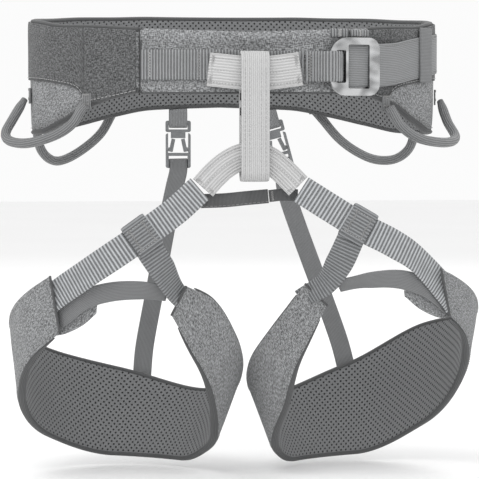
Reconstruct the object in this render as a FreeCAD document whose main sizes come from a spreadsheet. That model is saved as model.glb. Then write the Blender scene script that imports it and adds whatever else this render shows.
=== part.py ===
import FreeCAD, Part
import math
import os
import Sketcher
from FreeCAD import Placement, Rotation, Vector

# Climbing harness, hanging as if worn.
# Origin: centre of the waist opening. +Z up, -Y the front, +X the wearer's left.

doc = FreeCAD.newDocument("climbing_harness")

# ---------------------------------------------------------------- sizes (mm)

SIZES = {
    # waist belt
    "waist_half_width": 151.0,
    "waist_half_depth": 105.0,
    "belt_front_top": 29.5,
    "belt_back_top": 49.0,
    "belt_front_drop": 13.0,
    "belt_hip_drop": 45.0,
    "lining_thickness": 1.0,
    "belt_foam_thickness": 5.0,
    "shell_thickness": 1.0,
    "panel_thickness": 0.7,
    "layer_gap": 0.3,
    "tongue_thickness": 5.0,
    # webbing
    "webbing_width": 22.5,
    "webbing_thickness": 1.3,
    "webbing_gap": 0.25,
    "tail_width": 31.0,
    # buckle
    "buckle_width": 42.5,
    "buckle_height": 43.0,
    "buckle_plate": 2.6,
    "back_plate": 1.6,
    "buckle_angle": 28.5,
    "bar_swing_room": 1.2,
    "left_bar": 5.7,
    "left_slot": 8.0,
    "centre_bar": 2.1,
    "right_slot": 17.9,
    # belay loop and tie-in points; all that hangs below the belt sits a little to +X
    "hang_shift": 6.0,
    "belay_width": 21.0,
    "belay_height": 96.2,
    "belay_depth": 17.5,
    "belay_thickness": 2.5,
    "belay_gap": 3.2,
    "tie_in_width": 24.0,
    "tie_in_thickness": 3.0,
    "apex_width": 18.5,
    "apex_thickness": 3.5,
    "cross_strap_width": 10.5,
    # gear loops
    "gear_tube": 8.0,
    "gear_stand_off": 0.6,
    # leg loops
    "leg_top_radius": 90.5,
    "leg_bottom_radius": 77.5,
    "leg_top_spread": 91.8,
    "leg_bottom_spread": 98.5,
    "leg_forward": 35.0,
    "leg_drop": 0.0,
    "leg_foam_thickness": 5.0,
    "leg_webbing_width": 21.0,
    "thigh_tongue_thickness": 3.4,
    "thigh_elastic_width": 14.5,
    "keeper_length": 20.0,
    "keeper_room": 0.8,
    "keeper_wall": 1.1,
    # rear straps and their clips
    "rear_strap_width": 15.0,
    "tab_length": 16.4,
    "clip_width": 21.0,
    "clip_male_thickness": 3.6,
    "clip_female_thickness": 5.4,
    "clip_bar": 3.8,
    "clip_slot": 3.4,
    "clip_fit": 0.3,
    "prong_length": 11.0,
    "prong_width": 3.0,
}

sheet = doc.addObject("Spreadsheet::Sheet", "Sizes")
for row, (alias, value) in enumerate(SIZES.items(), 1):
    sheet.set(f"A{row}", alias)
    sheet.set(f"B{row}", str(value))
    sheet.setAlias(f"B{row}", alias)
doc.recompute()


def size(alias):
    return float(sheet.get(alias))


HALF_WIDTH = size("waist_half_width")
HALF_DEPTH = size("waist_half_depth")
HANG = size("hang_shift")
LAYER_GAP = size("layer_gap")
WEB = size("webbing_thickness")
WEB_GAP = size("webbing_gap")
SIDES = {"left": -1, "right": 1}

# ------------------------------------------------------------ general shapes


def corners_wire(corners):
    return Part.makePolygon(list(corners) + [corners[0]])


def loft(sections):
    """A closed smooth solid through four-cornered sections."""
    return Part.makeLoft([corners_wire(c) for c in sections], True, False)


def facet(*corners):
    return Part.Face(Part.makePolygon(corners + corners[:1]))


def folded(sections):
    """A closed solid of flat facets through four-cornered sections, for webbing that turns back."""
    facets = [facet(*sections[0][::-1]), facet(*sections[-1])]
    for here, there in zip(sections, sections[1:]):
        for i in range(4):
            j = (i + 1) % 4
            facets.append(facet(here[i], here[j], there[j]))
            facets.append(facet(here[i], there[j], there[i]))
    solid = Part.Solid(Part.makeShell(facets))
    if solid.Volume < 0:
        solid.reverse()
    return solid


def ribbon(path, width, thickness, build=loft):
    """Flat webbing along a path of (centre, facing) pairs; facing looks out of its front."""
    sections = []
    for i, (centre, facing) in enumerate(path):
        before = path[max(i - 1, 0)][0]
        after = path[min(i + 1, len(path) - 1)][0]
        along = (after - before).normalize()
        face = (facing - along * facing.dot(along)).normalize()
        across = face.cross(along) * (width / 2)
        half = face * (thickness / 2)
        sections.append([centre - across - half, centre + across - half,
                         centre + across + half, centre - across + half])
    return build(sections)


def tube(points, diameter):
    """A round tube along straight runs joined by tangent arcs."""
    edges = []
    start = points[0]
    for before, corner, after in zip(points, points[1:], points[2:]):
        back = (before - corner).normalize()
        onward = (after - corner).normalize()
        trim = 0.45 * min((before - corner).Length, (after - corner).Length)
        middle_way = (back + onward).normalize()
        half_turn = back.getAngle(middle_way)
        radius = trim * math.tan(half_turn)
        centre = corner + middle_way * (trim / math.cos(half_turn))
        arc_start = corner + back * trim
        arc_end = corner + onward * trim
        edges.append(Part.LineSegment(start, arc_start).toShape())
        edges.append(Part.Arc(arc_start, centre - middle_way * radius, arc_end).toShape())
        start = arc_end
    edges.append(Part.LineSegment(start, points[-1]).toShape())
    spine = Part.Wire(edges)
    ring = Part.Wire(Part.makeCircle(diameter / 2, points[0], points[1] - points[0]))
    return spine.makePipeShell([ring], True, False)


def soft_part(name, shape, placement=None):
    part = doc.addObject("Part::Feature", name)
    part.Label = name
    part.Shape = shape
    if placement:
        part.Placement = placement
    return part


# --------------------------------------------------------- PartDesign helpers


def new_body(name):
    body = doc.addObject("PartDesign::Body", name)
    body.Label = name
    return body


def rectangle(body, name, width, height, right="0", up="0", lift="0"):
    """Sketch of a rectangle on the body's XY plane; sizes and place are expressions in mm."""
    sketch = body.newObject("Sketcher::SketchObject", name)
    plane = next(f for f in body.Origin.OriginFeatures if f.Role == "XY_Plane")
    sketch.AttachmentSupport = (plane, [""])
    sketch.MapMode = "FlatFace"
    for axis, value in zip("xyz", (right, up, lift)):
        sketch.setExpression(f"AttachmentOffset.Base.{axis}", f"({value}) * 1 mm")
    corners = [Vector(-5, -4), Vector(5, -4), Vector(5, 4), Vector(-5, 4)]
    for a, b in zip(corners, corners[1:] + corners[:1]):
        sketch.addGeometry(Part.LineSegment(a, b))
    for i in range(4):
        sketch.addConstraint(Sketcher.Constraint("Coincident", i, 2, (i + 1) % 4, 1))
    for i in (0, 2):
        sketch.addConstraint(Sketcher.Constraint("Horizontal", i))
        sketch.addConstraint(Sketcher.Constraint("Vertical", i + 1))
    sketch.addConstraint(Sketcher.Constraint("Symmetric", 0, 1, 2, 1, -1, 1))
    wide = sketch.addConstraint(Sketcher.Constraint("DistanceX", 0, 1, 0, 2, 10))
    high = sketch.addConstraint(Sketcher.Constraint("DistanceY", 1, 1, 1, 2, 8))
    sketch.setExpression(f"Constraints[{wide}]", f"({width}) * 1 mm")
    sketch.setExpression(f"Constraints[{high}]", f"({height}) * 1 mm")
    doc.recompute()
    return sketch


def pad(body, name, sketch, length):
    feature = body.newObject("PartDesign::Pad", name)
    feature.Profile = sketch
    feature.setExpression("Length", f"({length}) * 1 mm")
    doc.recompute()
    return feature


def pocket(body, name, sketch, depth):
    """Cuts the sketch into the body and stops if nothing was removed."""
    before = body.Shape.Volume
    feature = body.newObject("PartDesign::Pocket", name)
    feature.Profile = sketch
    feature.Reversed = True
    feature.setExpression("Length", f"({depth}) * 1 mm")
    doc.recompute()
    if body.Shape.Volume > before - 0.01:
        raise RuntimeError(f"{name} of {body.Name} cuts nothing")
    return feature


def fillet(body, name, radius, chosen):
    """Rounds the body's edges for which chosen(edge) is true."""
    names = [f"Edge{i}" for i, edge in enumerate(body.Shape.Edges, 1) if chosen(edge)]
    base = body.Tip
    feature = body.newObject("PartDesign::Fillet", name)
    feature.Base = (base, names)
    feature.setExpression("Radius", f"({radius}) * 1 mm")
    doc.recompute()
    return feature


def upright(edge):
    """True for a straight edge through the plate's thickness."""
    if edge.Curve.TypeId != "Part::GeomLine":
        return False
    along = edge.Vertexes[1].Point - edge.Vertexes[0].Point
    return abs(along.z) > 0.99 * along.Length


def value_of(expression):
    """The number that an expression over the sheet's sizes gives."""
    return float(sheet.evalExpression(expression))


# -------------------------------------------------------------- waist belt

# Belt edges: angle from the front, share of the rise to the back's top edge,
# share of the drop from the front's to the hip's bottom edge.
BELT_EDGES = [
    (0, 0.00, 0.00),
    (30, 0.15, 0.00),
    (47, 0.28, 0.31),
    (59, 0.33, 0.69),
    (75, 0.54, 0.97),
    (95, 0.69, 1.00),
    (115, 0.79, 0.97),
    (131, 0.90, 0.78),
    (145, 0.95, 0.56),
    (158, 1.00, 0.38),
    (180, 1.00, 0.31),
]


def between(rows, at):
    """The values of a table of rows at a first-column value, straight between its rows."""
    for low, high in zip(rows, rows[1:]):
        if at <= high[0]:
            break
    share = (at - low[0]) / (high[0] - low[0])
    return [a + share * (b - a) for a, b in zip(low[1:], high[1:])]


def belt_edges(angle):
    turn = abs(angle) if abs(angle) <= 180 else 360 - abs(angle)
    rise, drop = between(BELT_EDGES, turn)
    front_top, back_top = size("belt_front_top"), size("belt_back_top")
    front_drop, hip_drop = size("belt_front_drop"), size("belt_hip_drop")
    return front_top + rise * (back_top - front_top), -front_drop - drop * (hip_drop - front_drop)


def belt_normal(angle):
    a = math.radians(angle)
    return Vector(HALF_DEPTH * math.sin(a), -HALF_WIDTH * math.cos(a), 0).normalize()


def belt_point(angle, offset, height):
    """A point outside the oval inner line of the belt; angle 0 is the front, + towards +X."""
    a = math.radians(angle)
    line = Vector(HALF_WIDTH * math.sin(a), -HALF_DEPTH * math.cos(a), 0)
    return line + belt_normal(angle) * offset + Vector(0, 0, height)


def belt_section(angle, inner, outer, bottom, top):
    return [belt_point(angle, inner, bottom), belt_point(angle, outer, bottom),
            belt_point(angle, outer, top), belt_point(angle, inner, top)]


PAD_START = 27
PAD_END = 329
PAD_STEPS = 48


def even(first, last, steps):
    """Evenly spaced values from first to last."""
    return [first + i * (last - first) / steps for i in range(steps + 1)]


def belt_layer(inner, thickness):
    sections = []
    for angle in even(PAD_START, PAD_END, PAD_STEPS):
        top, bottom = belt_edges(angle)
        sections.append(belt_section(angle, inner, inner + thickness, bottom, top))
    return loft(sections)


LINING = size("lining_thickness")
FOAM_FROM = LINING + LAYER_GAP
SHELL_FROM = FOAM_FROM + size("belt_foam_thickness") + LAYER_GAP
PANEL_FROM = SHELL_FROM + size("shell_thickness") + LAYER_GAP
PANEL_OUT = PANEL_FROM + size("panel_thickness")

soft_part("waist_lining", belt_layer(0, LINING))
soft_part("waist_foam", belt_layer(FOAM_FROM, size("belt_foam_thickness")))
soft_part("waist_shell", belt_layer(SHELL_FROM, size("shell_thickness")))

# Dark side panels over the shell: the part that wraps the belt's front end, then the part
# along the hip. Rows: angle, height of the lower edge.
PANEL_EDGE_INSET = 0.8
PANEL_STEPS = 8
LEFT_PANEL = [[(31.4, -14.5), (38, -18), (49, -23)], [(49, -10), (59, -7), (75, -4), (96, -3)]]
RIGHT_PANEL = [[(35, -15.5), (40, -18), (44.5, -21)], [(44.5, -11), (55, -7), (70, -4), (96, -3)]]


def side_panel(runs, side):
    pieces = []
    for run in runs:
        sections = []
        for angle in even(run[0][0], run[-1][0], PANEL_STEPS):
            top, bottom = belt_edges(angle)
            bottom = max(between(run, angle)[0], bottom + PANEL_EDGE_INSET)
            sections.append(belt_section(side * angle, PANEL_FROM, PANEL_OUT, bottom,
                                         top - PANEL_EDGE_INSET))
        pieces.append(loft(sections))
    return pieces[0].fuse(pieces[1]).removeSplitter()


soft_part("left_side_panel", side_panel(LEFT_PANEL, -1))
soft_part("right_side_panel", side_panel(RIGHT_PANEL, 1))

# Front panel: the padded tongue that closes the front. It butts the left end of the pad and
# climbs over the right end.
TONGUE = size("tongue_thickness")
TONGUE_LOW = 0.3
TONGUE_START = -30.4
TONGUE_END = 34.5
TONGUE_STEPS = 16
TONGUE_HIGH = PANEL_OUT + 0.35
TONGUE_RISE = [(-31, 0), (4, 0), (9, 0.2), (14, 0.5), (19, 0.8), (24, 1), (90, 1)]


def tongue_back(angle):
    return TONGUE_LOW + between(TONGUE_RISE, angle)[0] * (TONGUE_HIGH - TONGUE_LOW)


def front_panel():
    sections = []
    for angle in even(TONGUE_START, TONGUE_END, TONGUE_STEPS):
        top, bottom = belt_edges(angle)
        inner = tongue_back(angle)
        sections.append(belt_section(angle, inner, inner + TONGUE, bottom - 1.5, top + 0.8))
    return loft(sections)


soft_part("front_panel", front_panel())

# ----------------------------------------------------------- belt webbing

WEB_CENTRE_Z = 4.8
UNDER_FROM = TONGUE + WEB_GAP                       # above the tongue's back
BACK_PLATE_FROM = UNDER_FROM + WEB + WEB_GAP
UPPER_FROM = BACK_PLATE_FROM + size("back_plate") + WEB_GAP
FRAME_FROM = UPPER_FROM + WEB + 0.35
OVER_FROM = FRAME_FROM + size("buckle_plate") + size("bar_swing_room")
BUCKLE_ANGLE = size("buckle_angle")


def belt_strap(rows, width):
    """Webbing along the belt through rows of (angle, distance from the inner line, height)."""
    path = [(belt_point(a, off + WEB / 2, z), belt_normal(a)) for a, off, z in rows]
    return ribbon(path, width, WEB)


def buckle_place(right, out, up=0.0):
    """A point in the buckle's own directions, from its centre on the belt."""
    normal = belt_normal(BUCKLE_ANGLE)
    along = Vector(-normal.y, normal.x, 0)
    centre = belt_point(BUCKLE_ANGLE, TONGUE_HIGH, WEB_CENTRE_Z)
    return centre + along * right + normal * out + Vector(0, 0, up)


BUCKLE_LEFT = -size("buckle_width") / 2
LEFT_BAR_END = BUCKLE_LEFT + size("left_bar")
FOLD_CENTRE = LEFT_BAR_END + 1.3
STRAP_HEIGHT = size("webbing_width")


def buckle_strap():
    """The strap's end: back under the buckle's left bars, round them and sewn over itself."""
    out = belt_normal(BUCKLE_ANGLE)
    under = UNDER_FROM + WEB / 2
    over = OVER_FROM + WEB / 2
    middle = (under + over) / 2
    reach = (over - under) / 2
    slant = reach * math.sqrt(0.5)
    right = Vector(-out.y, out.x, 0)
    path = [(buckle_place(BUCKLE_LEFT - 6, under), -out),
            (buckle_place(FOLD_CENTRE, under), -out),
            (buckle_place(FOLD_CENTRE + slant, middle - slant), right - out),
            (buckle_place(FOLD_CENTRE + reach, middle), right),
            (buckle_place(FOLD_CENTRE + slant, middle + slant), right + out),
            (buckle_place(FOLD_CENTRE, over), out),
            (buckle_place(BUCKLE_LEFT - 1, over - 0.6), out)]
    for angle, lift in ((18.2, 3.6), (16.8, 1.5), (15.4, WEB_GAP + 0.4)):
        offset = tongue_back(angle) + UNDER_FROM + WEB + lift + WEB / 2
        path.append((belt_point(angle, offset, WEB_CENTRE_Z), belt_normal(angle)))
    return ribbon(path, STRAP_HEIGHT, WEB, folded)


def under_offset(angle):
    return tongue_back(angle) + UNDER_FROM


# Height of the belt webbing's middle: angle, height.
BELT_WEB_RISE = [(-30, 6.2), (-10, 6.0), (4, 5.2), (15, 5.0)]
BELT_WEB_LIFT = 0.55
BELT_WEB_ROWS = [(angle, under_offset(angle) + BELT_WEB_LIFT, between(BELT_WEB_RISE, angle)[0])
                 for angle in even(-30, 15, 18)]
soft_part("belt_webbing", belt_strap(BELT_WEB_ROWS, STRAP_HEIGHT))
soft_part("buckle_strap", buckle_strap())

# Wide webbing: from the right end of the pad under the back plate, round its bar and out again
# as the adjusting tail, which ends past the keeper.
PAD_FACE = PANEL_OUT + WEB_GAP


def tail_webbing():
    out = belt_normal(BUCKLE_ANGLE)
    right = Vector(-out.y, out.x, 0)
    under = UNDER_FROM + WEB / 2
    upper = UPPER_FROM + WEB / 2
    middle = (under + upper) / 2
    reach = (upper - under) / 2
    path = [(belt_point(47, PAD_FACE + WEB / 2, 7.5), belt_normal(47) * -1),
            (belt_point(41, PAD_FACE + 4.5, 6), belt_normal(41) * -1),
            (buckle_place(16, under + 0.3), -out),
            (buckle_place(8, under), -out),
            (buckle_place(-2.5, under), -out),
            (buckle_place(-2.5 - reach, middle), -right),
            (buckle_place(-2.5, upper), out),
            (buckle_place(10, upper, 0.5), out),
            (buckle_place(21, upper, 1.5), out)]
    for angle, offset, z in ((46, 12.0, 8), (54, PAD_FACE + 0.4, 11), (62, PAD_FACE + 0.4, 13.5),
                             (71, PAD_FACE + 0.4, 15.5), (80, PAD_FACE + 0.4, 17),
                             (89, PAD_FACE + 0.4, 18)):
        path.append((belt_point(angle, offset + WEB / 2, z), belt_normal(angle)))
    return ribbon(path, size("tail_width"), WEB, folded)


soft_part("tail_webbing", tail_webbing())

# Keeper: a short elastic band over the tail, sewn to the pad above and below it.
KEEPER_OUT = PAD_FACE + 0.6 + WEB + WEB_GAP
KEEPER_ANGLES = (59, 63.5, 68)
soft_part("tail_keeper", loft([belt_section(a, KEEPER_OUT, KEEPER_OUT + WEB, -6, 36)
                               for a in KEEPER_ANGLES]))

# Small webbing tab and the sewn stack above the buckle.
TRIM_FROM = TONGUE_HIGH + TONGUE + WEB_GAP
soft_part("hanger_tab", loft([belt_section(a, TRIM_FROM, TRIM_FROM + WEB, 26.5, 33)
                              for a in (22.5, 25, 27.8)]))
soft_part("sewn_end", loft([belt_section(a, TRIM_FROM, TRIM_FROM + 2 * WEB, 27, 32.5)
                            for a in (28.2, 31, 34)]))

# ------------------------------------------------------------- buckle


def buckle_placement(out):
    normal = belt_normal(BUCKLE_ANGLE)
    along = Vector(-normal.y, normal.x, 0)
    turn = Rotation(along, Vector(0, 0, 1), normal, "XYZ")
    return Placement(buckle_place(0, out), turn)


def buckle_plate(name, width, height, thickness, slots, left_round, right_round, edge):
    """A plate with a slot for each (left end, length, slot height) and rounded corners."""
    body = new_body(name)
    pad(body, "Plate", rectangle(body, "Outline", width, height), thickness)
    for side, radius in ((-1, left_round), (1, right_round)):
        fillet(body, "Corners_left" if side < 0 else "Corners_right", radius,
               lambda e, s=side: upright(e) and e.CenterOfMass.x * s > 0)
    for i, (start, length, tall) in enumerate(slots, 1):
        sketch = rectangle(body, f"Slot_outline_{i}", length, tall, f"({start}) + ({length}) / 2")
        pocket(body, f"Slot_{i}", sketch, thickness)
        low = value_of(f"({start}) - 0.1")
        high = value_of(f"({start}) + ({length}) + 0.1")
        inside = value_of(f"({tall}) / 2 + 0.1")
        fillet(body, f"Slot_corners_{i}", edge,
               lambda e, a=low, b=high, t=inside: upright(e) and a < e.CenterOfMass.x < b
               and abs(e.CenterOfMass.y) < t)
    return body


FRAME_SLOTS = [
    ("-Sizes.buckle_width / 2 + Sizes.left_bar", "Sizes.left_slot", "Sizes.webbing_width + 1.6"),
    ("-Sizes.buckle_width / 2 + Sizes.left_bar + Sizes.left_slot + Sizes.centre_bar",
     "Sizes.right_slot", "Sizes.tail_width + 1.6"),
]
BACK_SLOTS = [
    ("-Sizes.buckle_width / 2 + Sizes.left_bar", "Sizes.left_slot - 1.5", "Sizes.webbing_width + 1.6"),
    ("-Sizes.buckle_width / 2 + Sizes.left_bar + Sizes.left_slot", "5.2", "Sizes.tail_width + 1.6"),
]
frame = buckle_plate("buckle_frame", "Sizes.buckle_width", "Sizes.buckle_height",
                     "Sizes.buckle_plate", FRAME_SLOTS, "15", "9", "1.2")
frame.Placement = buckle_placement(FRAME_FROM)
plate = buckle_plate("buckle_back_plate", "Sizes.buckle_width - 4", "Sizes.buckle_height - 1",
                     "Sizes.back_plate", BACK_SLOTS, "15", "9", "1.2")
plate.Placement = buckle_placement(BACK_PLATE_FROM)

# -------------------------------------------------- tie-in points and belay loop

BELT_WEB_FACE = HALF_DEPTH + TONGUE_LOW + UNDER_FROM + WEB
BELAY_BACK = -(BELT_WEB_FACE + size("belay_gap"))
BELAY_X = HANG - 2.5
BELAY_TOP = 16.0
BELAY_MIDDLE = BELAY_TOP - size("belay_height") / 2
BELAY_CENTRE_Y = BELAY_BACK - size("belay_depth") / 2


def loop_body(name, depth, height, wall, width):
    """A webbing loop: a tall rounded ring, width across. Local X is depth, Y is height."""
    body = new_body(name)
    pad(body, "Loop", rectangle(body, "Outline", depth, height), width)
    fillet(body, "Outer_round", f"({depth}) * 0.48", upright)
    inside = rectangle(body, "Inside", f"({depth}) - 2 * ({wall})", f"({height}) - 2 * ({wall})")
    pocket(body, "Opening", inside, width)
    half = value_of(f"({depth}) / 2 - ({wall}) + 0.05")
    fillet(body, "Inner_round", f"(({depth}) - 2 * ({wall})) * 0.46",
           lambda e: upright(e) and abs(e.CenterOfMass.x) < half)
    return body


LOOP_TURN = Rotation(Vector(0, 1, 0), Vector(0, 0, 1), Vector(1, 0, 0), "XYZ")

belay = loop_body("belay_loop", "Sizes.belay_depth", "Sizes.belay_height",
                  "Sizes.belay_thickness", "Sizes.belay_width")
belay.Placement = Placement(
    Vector(BELAY_X - size("belay_width") / 2, BELAY_CENTRE_Y, BELAY_MIDDLE), LOOP_TURN)

FRONT = Vector(0, -1, 0)
TIE_IN_HALF = size("tie_in_thickness") / 2


def tie_in_row(x, y, z):
    return Vector(x + HANG, y, z), FRONT


def over_belt_webbing(angle):
    """Depth of the tie-in sleeve's middle where it lies on the belt webbing."""
    return belt_point(angle, under_offset(angle) + WEB + WEB_GAP + TIE_IN_HALF + 0.6, 0).y


TIE_IN_Y = BELAY_CENTRE_Y + 0.6


def upper_tie_in():
    """The sleeve that stands off the belt webbing so that the belay loop passes behind it."""
    path = [tie_in_row(-35, over_belt_webbing(-11), 2.5),
            tie_in_row(-26, over_belt_webbing(-8) - 4.0, 1.5),
            tie_in_row(-16, TIE_IN_Y + 1.2, 0.3), tie_in_row(-3, TIE_IN_Y, -0.5),
            tie_in_row(10, TIE_IN_Y + 1.0, 0), tie_in_row(22, over_belt_webbing(10.5) - 4.0, 1.5),
            tie_in_row(32.5, over_belt_webbing(14) - 0.4, 3)]
    return ribbon(path, size("tie_in_width"), size("tie_in_thickness"))


soft_part("upper_tie_in_sleeve", upper_tie_in())

# Lower tie-in: one padded sleeve over the webbing that links both leg loops.
APEX_Y = BELAY_CENTRE_Y + 0.4
APEX_ARMS = {
    "left": [(-1, -60.5, 0), (-12.5, -62, 0.5), (-23, -67.5, 2), (-32, -75.5, 4), (-40, -84.5, 5)],
    "right": [(-1, -60.5, 0), (8.5, -64, 0.5), (16.5, -70, 2), (24, -77, 4), (30.5, -83.5, 5)],
}


def apex_path():
    left = [(Vector(x + HANG, APEX_Y + back, z), FRONT) for x, z, back in reversed(APEX_ARMS["left"])]
    right = [(Vector(x + HANG, APEX_Y + back, z), FRONT) for x, z, back in APEX_ARMS["right"][1:]]
    return left + right


soft_part("lower_tie_in_sleeve",
          ribbon(apex_path(), size("apex_width"), size("apex_thickness")))

CROSS_Y = APEX_Y + 10.5


def cross_strap(rows, width, thickness):
    return ribbon([(Vector(x + HANG, CROSS_Y, z), FRONT) for x, z in rows], width, thickness)


soft_part("cross_strap_sleeve",
          cross_strap([(-41, -94.5), (-24, -94), (-8, -92.5), (9, -91)], size("cross_strap_width"), 2.2))
soft_part("cross_strap_end",
          cross_strap([(9.6, -91), (20, -90), (31, -90.5)], size("cross_strap_width") - 1.5, WEB))

# ----------------------------------------------------------- gear loops

TUBE = size("gear_tube")
LOOP_OUT = PANEL_OUT + size("gear_stand_off") + TUBE / 2

# Rows: angle round the belt, distance out beyond the tube's lie on the belt, height.
GEAR_LOOPS = {
    "front_left_gear_loop": [(-84, 0, -19), (-82, 10, -34), (-78.5, 18, -45), (-74, 18, -51),
                             (-65, 15, -52), (-54.5, 13, -46), (-49.5, 8, -37), (-48, 0, -24)],
    "rear_left_gear_loop": [(-112, 0, -28), (-113, 2, -50), (-118, 3, -63), (-125.5, 4, -68),
                            (-134, 3, -61), (-142, 1, -46), (-146.5, 0, -27)],
    "front_right_gear_loop": [(82.5, 0, -20), (79.5, 6, -36), (74, 14, -48), (64.5, 14, -52),
                              (52, 11, -49), (45.5, 7, -40), (43, 0, -25)],
    "rear_right_gear_loop": [(111, 0, -28), (113, 3, -51), (118, 4, -63), (125, 4, -68),
                             (133, 3, -65), (142, 1, -51), (150, 0, -27)],
}


def gear_loop(rows):
    points = [belt_point(angle, LOOP_OUT + out, z) for angle, out, z in rows]
    return tube(points, TUBE)


for name, rows in GEAR_LOOPS.items():
    soft_part(name, gear_loop(rows))

# -------------------------------------------------------------- leg loops

LEG_FORWARD = size("leg_forward")
LEG_DROP = size("leg_drop")

# Edges of the leg pads: (angle, height). Angle 0 is the outer side, 90 the rear, 180 the inner.
LEG_TOP = {
    "left": [(-48, -150), (-20, -172), (0, -187), (45, -217), (90, -237), (135, -252),
             (165, -243), (180, -229), (205, -200), (228, -168), (244, -157.5)],
    "right": [(-58, -146), (-25, -168), (0, -185), (45, -200), (90, -236), (135, -256),
              (165, -243), (180, -228), (205, -201), (220, -180), (233, -157)],
}
LEG_LOW = {
    "left": [(-53, -193), (-22, -220), (0, -246), (45, -285), (90, -304), (135, -306),
             (160, -295), (180, -281), (195, -258), (210, -233), (228, -207), (242, -180)],
    "right": [(-48, -183), (-21, -205), (0, -229), (45, -279), (90, -306), (135, -308),
              (160, -297), (180, -281), (200, -257), (212, -225), (222, -205), (236, -174)],
}
LEG_LINING = size("lining_thickness")
LEG_FOAM = size("leg_foam_thickness")
LEG_SHELL = size("shell_thickness")
LEG_CORE_ROOM = 0.25
LEG_FOAM_FROM = LEG_SHELL + LAYER_GAP + LEG_CORE_ROOM
LEG_LINING_FROM = LEG_FOAM_FROM + LEG_FOAM + LAYER_GAP


def leg_facing(side, angle):
    a = math.radians(angle)
    return Vector(SIDES[side] * math.cos(a), math.sin(a), 0)


def leg_rim(side, angle, height, low):
    """A point on the leg loop's upper (low=0) or lower (low=1) circle, on its outer face."""
    spread = size("leg_top_spread") + low * (size("leg_bottom_spread") - size("leg_top_spread"))
    radius = size("leg_top_radius") + low * (size("leg_bottom_radius") - size("leg_top_radius"))
    centre = Vector(SIDES[side] * spread + HANG, -LEG_FORWARD, height - LEG_DROP)
    return centre + leg_facing(side, angle) * radius


def leg_edges(side, angle):
    """Heights of the two edges at an angle."""
    return between(LEG_TOP[side], angle)[0], between(LEG_LOW[side], angle)[0]


def leg_point(side, angle, height, inward):
    """A point of the leg loop's wall at a height, some way inward of its outer face."""
    top, bottom = leg_edges(side, angle)
    face = leg_rim(side, angle, height, (height - top) / (bottom - top))
    return face - leg_facing(side, angle) * inward


def wall_facing(side, angle):
    """Out of the leg pad's wall, square to its slope."""
    top, bottom = leg_edges(side, angle)
    slope = leg_rim(side, angle, top, 0) - leg_rim(side, angle, bottom, 1)
    outward = leg_facing(side, angle)
    return (outward - slope * (outward.dot(slope) / slope.dot(slope))).normalize()


LEG_STEPS = 36
CORE_SKIP = 3
CORE_INSET = 0.8


def leg_layer(side, inward, thickness, skip=0):
    """One layer of the leg pad in even steps; skip leaves out that many at each end."""
    top_from, top_to = LEG_TOP[side][0][0], LEG_TOP[side][-1][0]
    low_from, low_to = LEG_LOW[side][0][0], LEG_LOW[side][-1][0]
    inset = CORE_INSET if skip else 0
    sections = []
    for step in range(skip, LEG_STEPS + 1 - skip):
        top_angle = top_from + (top_to - top_from) * step / LEG_STEPS
        low_angle = low_from + (low_to - low_from) * step / LEG_STEPS
        top = leg_edges(side, top_angle)[0]
        low = leg_edges(side, low_angle)[1]
        outward = leg_facing(side, (top_angle + low_angle) / 2)
        high = leg_rim(side, top_angle, top, 0) - outward * inward
        deep = leg_rim(side, low_angle, low, 1) - outward * inward
        down = (deep - high).normalize() * inset
        high, deep = high + down, deep - down
        sections.append([high, high - outward * thickness, deep - outward * thickness, deep])
    return loft(sections)


# Front webbing rows: x, y, z and the turn of its face outwards.
FRONT_WEBBING = {
    "left": [(-42.5, -85.5, 0, -5), (-59, -100, 5, 0), (-76, -112.4, 8.5, 0), (-85.5, -119.2, 8.5, 0),
             (-95, -126, 8.5, 0), (-108, -134.9, 6.5, 12), (-125, -147, -2, 25)],
    "right": [(33, -86, 0, -5), (46, -94.5, 5, 0), (64.5, -106.2, 8.5, 0), (74.3, -111.9, 8.5, 0),
              (84, -117.4, 8.5, 0), (101, -126, 5, 12), (121, -139, -2, 40)],
}
MOUTH = {"left": [(-47, -167), (-41, -177)], "right": [(-50, -165), (-44, -173)]}
TIP_Y = APEX_Y + 5
MOUTH_ROOM = 1.2
TUCK = LEG_SHELL + WEB_GAP + WEB / 2 + MOUTH_ROOM


def front_facing(side, turn):
    a = math.radians(turn)
    return Vector(SIDES[side] * math.sin(a), -math.cos(a), 0)


def front_webbing(side):
    path = [(Vector(x + HANG, TIP_Y - forward, z), front_facing(side, turn))
            for x, z, forward, turn in FRONT_WEBBING[side]]
    for angle, z in MOUTH[side]:
        path.append((leg_point(side, angle, z, TUCK), wall_facing(side, angle)))
    return ribbon(path, size("leg_webbing_width"), WEB)


# Keeper block: the cross webbing's end folded round the front webbing and sewn.
KEEPER_CENTRE = {"left": (-85.5, -119.2), "right": (74.3, -111.9)}
KEEPER_SLOPE = {"left": 35.7, "right": -30.0}
KEEPER_FORWARD = 8.5
KEEPER_DEPTH = "Sizes.webbing_thickness + 2 * Sizes.keeper_wall + 2 * Sizes.keeper_room"


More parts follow.
